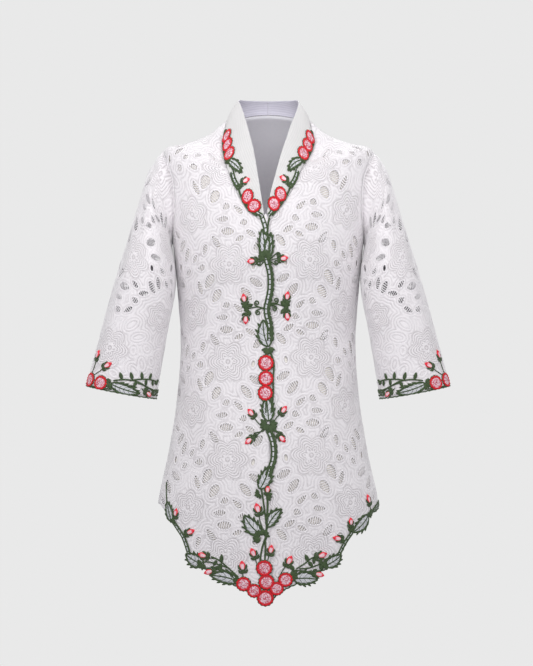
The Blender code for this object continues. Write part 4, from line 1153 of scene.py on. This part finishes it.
def leaf(root, tip, width, bend, teeth=5):
    """A saw-edged leaf: green edges, teeth, midrib and veins over a low pale blade.

    Half width w/2 sin(pi t^0.8)^0.7 (0.78 + 0.20 saw), the teeth pointing to the tip."""
    root, tip = np.asarray(root, float), np.asarray(tip, float)
    t = np.linspace(0, 1, 6 * teeth + 1)
    run = tip - root
    aside = np.array([-run[1], run[0]]) / np.linalg.norm(run)
    axis = root + run * t[:, None] + aside * (bend * np.linalg.norm(run)
                                              * np.sin(math.pi * t))[:, None]
    half = width / 2 * np.sin(math.pi * np.clip(t, 0.03, 0.97) ** 0.8) ** 0.7
    saw = (t * teeth) % 1.0
    outer = half * (0.78 + 0.20 * saw)
    green = [stripe(axis + aside * (sign * (outer - 1.2))[:, None], 1.6, 1.3, 5)
             for sign in (-1, 1)]
    green.append(stripe(axis[:-2], 1.2, 1.2, 5))
    for k in range(1, teeth):
        at = round((k - 0.05) * 6)
        for sign in (-1, 1):
            edge = axis[at] + aside * sign * (outer[at] - 1.5)
            out = edge + run * 0.13 + aside * sign * half[at] * 0.5
            green.append(lobe(edge - run * 0.05, out, 4.4))
            if k < teeth - 1:
                end = min(at + 5, len(t) - 1)
                b = axis[end] + aside * sign * half[end] * 0.66
                green.append(stripe(np.linspace(axis[at], b, 4), 0.45, 0.9, 3))
    return green, [stripe(axis, np.maximum(outer - 1.0, 0.1), 0.5, 5)]


def tendril(root, centre, radius, hand):
    """A stem running into a spiral of 1.25 turns, its radius falling to a quarter."""
    root, centre = np.asarray(root, float), np.asarray(centre, float)
    t = np.linspace(0, 1, 24)
    entry = math.atan2(root[1] - centre[1], root[0] - centre[0]) + hand * 1.4
    angle = entry + hand * t * 1.25 * 2 * math.pi
    spiral = centre + (radius * (1 - 0.75 * t))[:, None] * np.stack([np.cos(angle),
                                                                     np.sin(angle)], axis=-1)
    stem = np.linspace(root, spiral[0], 7)[:-1]
    return stripe(np.vstack([stem, spiral]), 1.15, 1.2, 5)


def stem(points, half):
    """A plain stem along a smooth curve, a point every 3 mm."""
    return stripe(spline(points, max(4, round(walked(points)[-1] / 3.0))), half, 1.2, 5)


def ladder(points, width, frill):
    """Two rails on a pale strip with a rung every fourth step of 2.2 mm.

    With a frill the right rail is broad and its outer edge is scalloped every 8.8 mm."""
    step = 2.2
    line = spline(points, max(6, round(walked(points)[-1] / step)))
    side = left_of(line)
    bay = 0.6 + 0.4 * np.abs(np.sin(np.arange(len(line)) * step * math.pi / 8.8))
    broad = 1.25 + frill * bay / 2
    off = width / 2
    green = [stripe(line - side * off, 1.6, 1.3, 5),
             stripe(line + side * (off + broad - 1.25)[:, None], broad, 1.4, 7)]
    for k in range(2, len(line) - 1, 4):
        green.append(stripe(np.linspace(line[k] - side[k] * off, line[k] + side[k] * off, 3),
                            1.3, 1.0, 3))
    return green, [stripe(line, off, 0.45, 5)]


def bud(root, middle, size=1.0):
    """A bud: a stalk, a green calyx of five lobes and the pointed oval of the petals."""
    root, middle = np.asarray(root, float), np.asarray(middle, float)
    reach = max(np.linalg.norm(middle - root), 1e-6)
    way = (middle - root) / reach
    aside = np.array([-way[1], way[0]])
    base = middle - way * 7.0 * size
    t = np.linspace(0, 1, 8)[:, None]
    bow = (root + base) / 2 + aside * reach * 0.12
    green = [stripe(root * (1 - t) ** 2 + 2 * bow * t * (1 - t) + base * t**2, 0.9, 1.0, 5)]
    for lean, far, start in ((6.6, 9.0, 0.0), (-6.6, 9.0, 0.0),
                             (7.5, 1.0, -5.0), (-7.5, 1.0, -5.0)):
        green.append(lobe(base + way * start * size, base + (way * far + aside * lean) * size,
                          4.6 * size, 0.16 if lean > 0 else -0.16))
    green.append(lobe(base - way * 6.0 * size, base + way * 4.0 * size, 6.0 * size))
    t = np.linspace(0, 1, 15)
    half = np.maximum(4.7 * size * np.sin(math.pi * np.clip(0.14 + 0.86 * t, 0, 1)) ** 0.8, 0.12)
    path = base + way * (1.0 + 14.5 * t[:, None]) * size
    flat, height, uv = stripe(path, half, 2.4 * np.clip(half / 3, 0.3, 1), 9)
    uv[..., 0] = t[:, None]
    return green, [(flat, height, uv)]


def flower_turns(x):
    """Turns round a flower, starting from one of its own."""
    return np.linspace(0, 2 * math.pi, 66)[:-1] + 0.3 * x


def flower(x, y, radius):
    """A frilled disc: a profile carried round a circle of radius r (1 + 0.05 cos 13t)."""
    t = flower_turns(x)
    share = np.array([0, 0.2, 0.4, 0.55, 0.66, 0.71, 0.77, 0.86, 0.95, 1.0, 1.0, 0.0])
    rise = np.array([2.1, 2.0, 1.9, 1.7, 1.5, 1.2, 1.9, 2.4, 2.0, 1.2, 0.3, 0.3])
    reach = radius * share * (1 + 0.05 * np.cos(13 * t)[:, None] * share**2)
    flat = np.stack([x + reach * np.cos(t)[:, None], y + reach * np.sin(t)[:, None]], axis=-1)
    height = rise * (1 + 0.16 * np.cos(13 * t)[:, None] * (share > 0.72))
    return flat, height, np.stack(np.broadcast_arrays(t[:, None] / (2 * math.pi), share), axis=-1)


def backing(x, y, radius):
    """The green stitching round a flower's edge, to r (1.08 + 0.04 cos(13t + 1.5))."""
    t = flower_turns(x)
    reach = radius * (1.08 + 0.04 * np.cos(13 * t + 1.5))[:, None] * np.array([0, 0.9, 1, 1, 0])
    flat = np.stack([x + reach * np.cos(t)[:, None], y + reach * np.sin(t)[:, None]], axis=-1)
    height = np.broadcast_to(np.array([0.9, 0.9, 0.6, 0.0, 0.0]), reach.shape)
    return flat, height, flat * 0.001


def fan(loop):
    """Triangles that close one loop of points."""
    return np.stack([np.zeros(loop - 2, int), np.arange(1, loop - 1), np.arange(2, loop)], axis=-1)


def closed(shape, ring):
    """Triangles of one shape: tubes of loops with capped ends, or a ring of profiles."""
    rows, loop = shape[1].shape
    at = np.arange(rows * loop).reshape(rows, loop)
    if ring:
        nxt = np.roll(at, -1, axis=0)
        a, b, c, d = at[:, :-1], nxt[:, :-1], nxt[:, 1:], at[:, 1:]
        caps = []
    else:
        nxt = np.roll(at, -1, axis=1)
        a, b, c, d = at[:-1], at[1:], nxt[1:], nxt[:-1]
        caps = [fan(loop), fan(loop)[:, ::-1] + (rows - 1) * loop]
    return np.vstack([np.stack([a, b, c], axis=-1).reshape(-1, 3),
                      np.stack([a, c, d], axis=-1).reshape(-1, 3), *caps])


def stitched(name, material, shapes, place, ring=False):
    """Carry shapes onto the cloth as one piece, each turned so that it faces outwards."""
    faces, first = [], 0
    points = place(np.vstack([flat.reshape(-1, 2) for flat, _, _ in shapes]),
                   LIFT + np.concatenate([height.reshape(-1) for _, height, _ in shapes]))
    for shape in shapes:
        made = closed(shape, ring) + first
        first += shape[1].size
        corner = points[made] - points[made[0, 0]]
        if (corner[:, 0] * np.cross(corner[:, 1], corner[:, 2])).sum() < 0:
            made = made[:, ::-1]
        faces.append(made)
    piece = mesh_piece(name, points, np.vstack(faces), material,
                       np.vstack([uv.reshape(-1, 2) for _, _, uv in shapes]))
    return piece


def embroider(node, place, to_flat, stems, leaves, clumps, buds, flowers, ladders=(), lobes=(),
              tendrils=()):
    """Work the tables of one border and lay them on the cloth in place of a node."""
    def pair(row, start=0):
        return to_flat(row[start:start + 2])

    green = [stem([to_flat(p) for p in points], half) for half, points in stems]
    pale, petals = [], []
    for row in ladders:
        made = ladder([to_flat(p) for p in row[2]], row[0], row[1])
        green += made[0]
        pale += made[1]
    for row in leaves:
        made = leaf(pair(row), pair(row, 2), *row[4:])
        green += made[0]
        pale += made[1]
    for row in clumps:
        green += clump(pair(row), *row[2:])
    green += [lobe(pair(row), pair(row, 2), *row[4:]) for row in lobes]
    green += [tendril(pair(row), pair(row, 2), *row[4:]) for row in tendrils]
    for row in buds:
        made = bud(pair(row), pair(row, 2), *row[4:])
        green += made[0]
        petals += made[1]
    pieces = [stitched(f"{node}_green", green_satin, green, place)]
    if pale:
        pieces.append(stitched(f"{node}_pale", pale_satin, pale, place))
    if petals:
        pieces.append(stitched(f"{node}_buds", bud_satin, petals, place))
    rounds = [(*pair(row), row[2]) for row in flowers]
    pieces.append(stitched(f"{node}_flower_backs", green_satin, [backing(*row) for row in rounds],
                           place, ring=True))
    pieces.append(stitched(f"{node}_flowers", flower_satin, [flower(*row) for row in rounds],
                           place, ring=True))
    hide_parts(node)


def seen(point):
    """A point given as it is seen from the front, as cloth coordinates."""
    return flat_from_view(np.array([point[0]]), np.array([point[1]]))[0]


# the vine and the hem border, in millimetres as seen from the front
embroider(
    "embroidery_fronts", partial(body_point, front=True), seen,
    ladders=(
        (6.4, 0.0, ((-12, -166), (-8, -177), (-5, -188), (-4, -200))),
        (6.0, 4.6, ((-5, -240), (-2, -252), (2, -268), (3, -284), (2, -301), (-1, -316),
                    (-4, -331), (-3, -344), (0, -356), (2, -372), (2, -390))),
        (5.6, 4.4, ((-1, -550), (4, -561), (8, -576), (9, -589), (8, -602), (4, -615),
                    (-2, -632))),
        (5.0, 0.0, ((-143, -776), (-148, -760), (-154, -745), (-163, -732), (-173, -718))),
        (4.2, 0.0, ((127, -777), (135, -761), (142, -750), (151, -738))),
    ),
    stems=(
        (1.7, ((2, -170), (0, -181), (-1, -200))),
        (1.6, ((-12, -656), (-8, -682), (-5, -704), (-3, -720))),
        (1.9, ((-1, -664), (-1, -684), (-2, -714), (-4, -746))),
        (1.6, ((-5, -743), (-11, -763), (-14, -785), (-13, -803))),
        (1.6, ((-5, -746), (-5, -767), (-6, -785), (-6, -800))),
        (1.5, ((-4, -412), (-4, -520))),
        (1.1, ((-6, -331), (-20, -329), (-36, -332))),
        (1.1, ((2, -325), (16, -324), (29, -328))),
        (1.6, ((2, -404), (10, -430), (9, -458), (9, -484), (5, -520))),
        (1.3, ((-53, -815), (-72, -798), (-90, -784), (-102, -779))),
        (1.3, ((-73, -798), (-92, -792), (-112, -789), (-118, -790))),
        (1.2, ((-56, -822), (-74, -806), (-90, -800), (-97, -803))),
        (1.3, ((50, -800), (66, -790), (80, -780), (87, -778))),
        (1.3, ((56, -800), (76, -798), (92, -793), (106, -792))),
        (1.2, ((44, -802), (64, -804), (80, -808))),
        (1.3, ((-184, -686), (-185, -668), (-185, -650))),
    ),
    leaves=(
        (-6, -242, -11, -190, 25, -0.04),
        (1, -242, 5, -196, 20, 0.04),
        (0, -401, -9, -352, 29, 0.06),
        (1, -535, -3, -490, 26, 0.0),
        (-15, -656, 2, -614, 26, -0.05),
        (-13, -738, -43, -703, 28, 0.06),
        (-2, -724, 24, -691, 22, 0.06),
        (-54, -822, -104, -813, 26, -0.05),
        (-116, -794, -149, -777, 28, 0.05),
        (-175, -720, -184, -684, 22, 0.0),
        (46, -818, 89, -820, 28, 0.05),
        (102, -796, 132, -777, 24, -0.05),
        (182, -709, 152, -738, 25, 0.05),
        (188, -704, 203, -688, 12, 0.0, 4),
    ),
    clumps=(
        (-8, -240, 150, 13, 6), (-4, -238, 60, 13, 6),
        (0, -404, -90, 13, 7),
        (-2, -540, -140, 15, 6), (4, -542, -30, 15, 6),
        (-16, -664, -160, 10), (-2, -668, 20, 11),
        (-16, -742, 170, 14, 6), (-8, -738, 60, 12),
        (-54, -822, 175, 10), (-118, -793, -140, 12, 6), (-174, -722, 60, 9),
        (42, -812, -10, 13, 6), (105, -793, -170, 11), (184, -704, -60, 12, 6),
        (150, -736, 60, 9), (-36, -332, 180, 9, 7), (29, -328, 0, 9, 7),
    ),
    lobes=(
        (-84, -790, -83, -774, 7), (-84, -790, -88, -806, 7), (-92, -785, -98, -796, 6),
        (72, -787, 66, -774, 7), (72, -787, 80, -797, 7), (82, -780, 82, -792, 6),
        (46, -802, 38, -792, 8), (92, -794, 96, -782, 7), (92, -794, 98, -804, 7),
        (100, -793, 105, -782, 6), (-97, -800, -84, -796, 6),
        (-38, -324, -47, -330, 8), (-38, -336, -30, -343, 8), (-37, -328, -27, -324, 7),
        (31, -320, 39, -327, 8), (31, -332, 22, -341, 8), (31, -328, 22, -318, 8),
    ),
    tendrils=(
        (-4, -244, -16, -251, 4.4, -1), (2, -246, 14, -249, 4.6, 1), (3, -244, 18, -236, 4.4, -1),
        (-8, -332, -20, -322, 5.0, -1), (-8, -330, -18, -339, 4.8, 1),
        (3, -322, 14, -317, 5.0, 1), (3, -326, 11, -332, 4.8, -1),
        (-8, -552, -22, -560, 4.6, 1), (4, -550, 20, -560, 4.4, -1),
    ),
    buds=(
        (-4, -244, -30, -247), (4, -246, 28, -242),
        (-39, -331, -43, -313), (-39, -331, -40, -352),
        (31, -327, 34, -309), (31, -327, 34, -346),
        (-8, -546, -31, -519), (6, -544, 28, -514),
        (-8, -546, -35, -570), (6, -544, 25, -566),
        (-2, -676, -1, -656, 0.9), (-5, -734, -19, -690, 1.15),
        (-10, -806, -27, -770, 1.05), (-2, -806, 5, -764, 1.0),
        (-42, -822, -46, -794, 1.1), (16, -828, 38, -784, 1.1),
        (-96, -782, -118, -777, 1.05), (-88, -800, -107, -807, 1.05),
        (84, -780, 97, -776, 1.1), (76, -806, 92, -811, 1.05),
        (-154, -743, -140, -736, 1.0), (-170, -724, -167, -703, 0.95),
        (141, -751, 124, -747, 1.0), (148, -740, 149, -718, 0.9),
        (188, -704, 182, -680, 1.05),
    ),
    flowers=(
        (-4, -430, 14), (-4, -458, 13.5), (-5, -484, 13.5),
        (-7, -798, 13.8), (-3, -823, 13.5), (-5, -852, 14.2),
        (-44, -827, 12.5), (-25, -839, 12), (15, -835, 12), (31, -819, 12.5),
    ),
)

# the collar border: distance up the seam from the foot, and in from the seam
for side, word in SIDES:
    embroider(
        f"embroidery_collar_{word}", partial(collar_point, side=side), np.array,
        stems=((2.0, ((8, 3), (25, 3), (48, 3), (66, 4), (76, 6))),
               (1.8, ((134, 4), (150, 3), (173, 3), (194, 3))),),
        ladders=((5.0, 2.2, ((112, 7), (100, 5), (88, 5), (74, 7))),
                 (4.6, 0.0, ((1, 8), (14, 8)))),
        leaves=((139, 8, 94, 24, 18, -0.05), (196, 9, 216, 4, 10, 0.1, 4)),
        clumps=((140, 8, 175, 9), (76, 7, 60, 8)),
        buds=((82, 6, 75, 25, 1.05),),
        flowers=((25, 14, 12.6), (48, 14, 12.6), (150, 14, 12.8), (173, 14, 12.2),
                 (194, 13.5, 11.6)),
    )


def from_cuff(point, sign):
    """A point measured round and up from the cuff's edge, as sleeve coordinates."""
    return np.array([point[0] * sign, SLEEVE[-1, 0] - point[1]])


# the cuff borders: distance round from the outer fold, and up from the edge
for side, word in SIDES:
    for sign, half in ((1, "front"), (-1, "back")):
        tall = ((28, 22, 33, 63, 1.05), (33, 22, 66, 48, 1.05)) if sign > 0 else ()
        embroider(
            f"embroidery_cuff_{word}_{half}", partial(sleeve_point, side=side),
            partial(from_cuff, sign=sign),
            stems=((1.4, ((84, 22), (104, 28), (126, 28), (146, 21), (166, 17), (185, 14))),
                   (1.4, ((112, 28), (132, 34), (154, 36), (172, 34))),
                   (1.3, ((126, 26), (148, 21), (170, 12), (185, 6))),
                   (1.4, ((8, 5), (30, 4), (60, 3), (84, 5)))),
            leaves=((80, 15, 134, 7, 23, 0.04, 7), (160, 9, 186, 16, 12, 0.0, 5)),
            clumps=((79, 16, 150, 12, 6), (173, 35, 60, 9)),
            lobes=((98, 27, 92, 40, 6.5), (116, 30, 110, 44, 6.5), (134, 34, 130, 48, 6.5),
                   (150, 36, 152, 49, 6.5), (142, 35, 144, 23, 6.5), (124, 28, 120, 17, 6),
                   (158, 35, 162, 24, 6), (146, 20, 140, 10, 6)),
            buds=((136, 17, 153, 8, 0.95), *tall),
            flowers=((30, 14, 13.2), (60, 13, 13.2)),
        )


# =========================================================================================
# EDGES
# A cord worked over the edge: green round the front hem and the cuffs, white on the back
# and over the armhole seams.
# =========================================================================================


def edge_cord(name, line, place, out, radius, material):
    """A six-sided cord along a line on the cloth, closed at both ends."""
    loop = 6
    path = place(line, np.full(len(line), out))
    run = np.gradient(path, axis=0)
    run /= np.linalg.norm(run, axis=1, keepdims=True)
    up = place(line, np.full(len(line), out + 1.0)) - path
    aside = np.cross(run, up)
    aside /= np.linalg.norm(aside, axis=1, keepdims=True)
    up = np.cross(aside, run)
    turn = np.arange(loop) * 2 * math.pi / loop
    points = (path[:, None] + radius * (aside[:, None] * np.cos(turn)[:, None]
                                        + up[:, None] * np.sin(turn)[:, None]))
    at = np.arange(len(path) * loop).reshape(len(path), loop)
    nxt = np.roll(at, -1, axis=1)
    quads = np.stack([at[:-1], nxt[:-1], nxt[1:], at[1:]], axis=-1).reshape(-1, 4)
    faces = np.vstack([quads[:, :3], quads[:, (0, 2, 3)], fan(loop)[:, ::-1],
                       fan(loop) + at[-1, 0]])
    plain = np.ones(path.shape[0] * loop)
    piece = mesh_piece(name, points.reshape(-1, 3), faces, material, None,
                       {"rim": plain * 1.2, "petal": plain * -30})


for side, word in SIDES:
    hem = front_outline(side, LACE_LAP[side], 0.0, LACE_SCALLOP)[:HEM_POINTS]
    edge_cord(f"hem_cord_front_{word}", hem, partial(front_point, side=side), LACE, 1.3,
              green_satin)
    on_sleeve = partial(sleeve_point, side=side)
    for front, half in ((True, "front"), (False, "back")):
        line = sleeve_outline(front)
        armhole, cuff = line[:ROUND_POINTS], line[ROUND_POINTS + ALONG_POINTS:-ALONG_POINTS]
        edge_cord(f"cuff_cord_{word}_{half}", cuff, on_sleeve, LACE, 1.2, green_satin)
        edge_cord(f"armhole_cord_{word}_{half}", armhole, on_sleeve, LACE * 0.7, 1.2,
                  LACE_WHITE)
edge_cord("hem_cord_back", np.vstack([(back_hem * (-1, 1))[:0:-1], back_hem]), on_back,
          LACE / 2, 0.9, LACE_WHITE)


# =========================================================================================
# SETTING
# A pale studio: a wide floor, a soft lamp above the front, one at each side and one behind
# the neck, and a sky that is even at eye level.
# =========================================================================================

FLOOR_RADIUS, FLOOR_HEIGHT, FLOOR_POINTS = 4400.0, -1900.0, 96
turn = np.arange(FLOOR_POINTS) * 2 * math.pi / FLOOR_POINTS
floor_points = np.stack([FLOOR_RADIUS * np.cos(turn), FLOOR_RADIUS * np.sin(turn),
                         np.full(FLOOR_POINTS, FLOOR_HEIGHT)], axis=-1)
floor_mesh = bpy.data.meshes.new("floor")
floor_mesh.from_pydata(floor_points * 0.001, [], [range(FLOOR_POINTS)])
floor_mesh.materials.append(new_material("floor", (0.52, 0.515, 0.55), 0.9)[0])
floor = bpy.data.objects.new("floor", floor_mesh)
bpy.context.scene.collection.objects.link(floor)

bpy.context.scene.view_settings.view_transform = "Standard"
world = bpy.data.worlds.new("studio")
bpy.context.scene.world = world
world.use_nodes = True
sky = world.node_tree
height = components(sky, coordinates(sky, "Generated"))[2]
below = calc(sky, "MULTIPLY_ADD", height, -4.0, -1.0, clamp=True)
above = calc(sky, "MULTIPLY_ADD", height, 2.5, -0.75, clamp=True)
level = blend_colour(sky, below, (0.815, 0.815, 0.815), (0.30, 0.29, 0.35))
sky.links.new(blend_colour(sky, above, level, (0.23, 0.23, 0.25)),
              sky.nodes["Background"].inputs["Color"])

# lamps, in metres and watts: name, place, width, height, power
LAMPS = (
    ("key", (-0.15, -1.05, 0.62), 1.8, 0.5, 9.8),
    ("right side", (-1.15, -1.7, 0.1), 1.0, 0.8, 4.6),
    ("left side", (1.15, -1.7, 0.1), 1.0, 0.8, 5.8),
    ("neck", (0.1, 0.9, 1.5), 1.0, 1.0, 16.0),
)
LIT = Vector((0, 0, -0.25))
for name, at, wide, tall, power in LAMPS:
    lamp = bpy.data.lights.new(name, "AREA")
    lamp.shape = "RECTANGLE"
    lamp.size, lamp.size_y = wide, tall
    lamp.energy = power
    light = bpy.data.objects.new(name, lamp)
    light.location = at
    light.visible_camera = False
    light.rotation_euler = (LIT - Vector(at)).to_track_quat("-Z", "Y").to_euler()
    bpy.context.scene.collection.objects.link(light)

lens = bpy.data.cameras.new("camera")
lens.lens = 100.0
lens.sensor_width = 36.0
camera = bpy.data.objects.new("camera", lens)
camera.location = (-0.003, -3.44, -0.376)
camera.rotation_euler = (math.pi / 2, 0.0, 0.0)
bpy.context.scene.collection.objects.link(camera)
bpy.context.scene.camera = camera
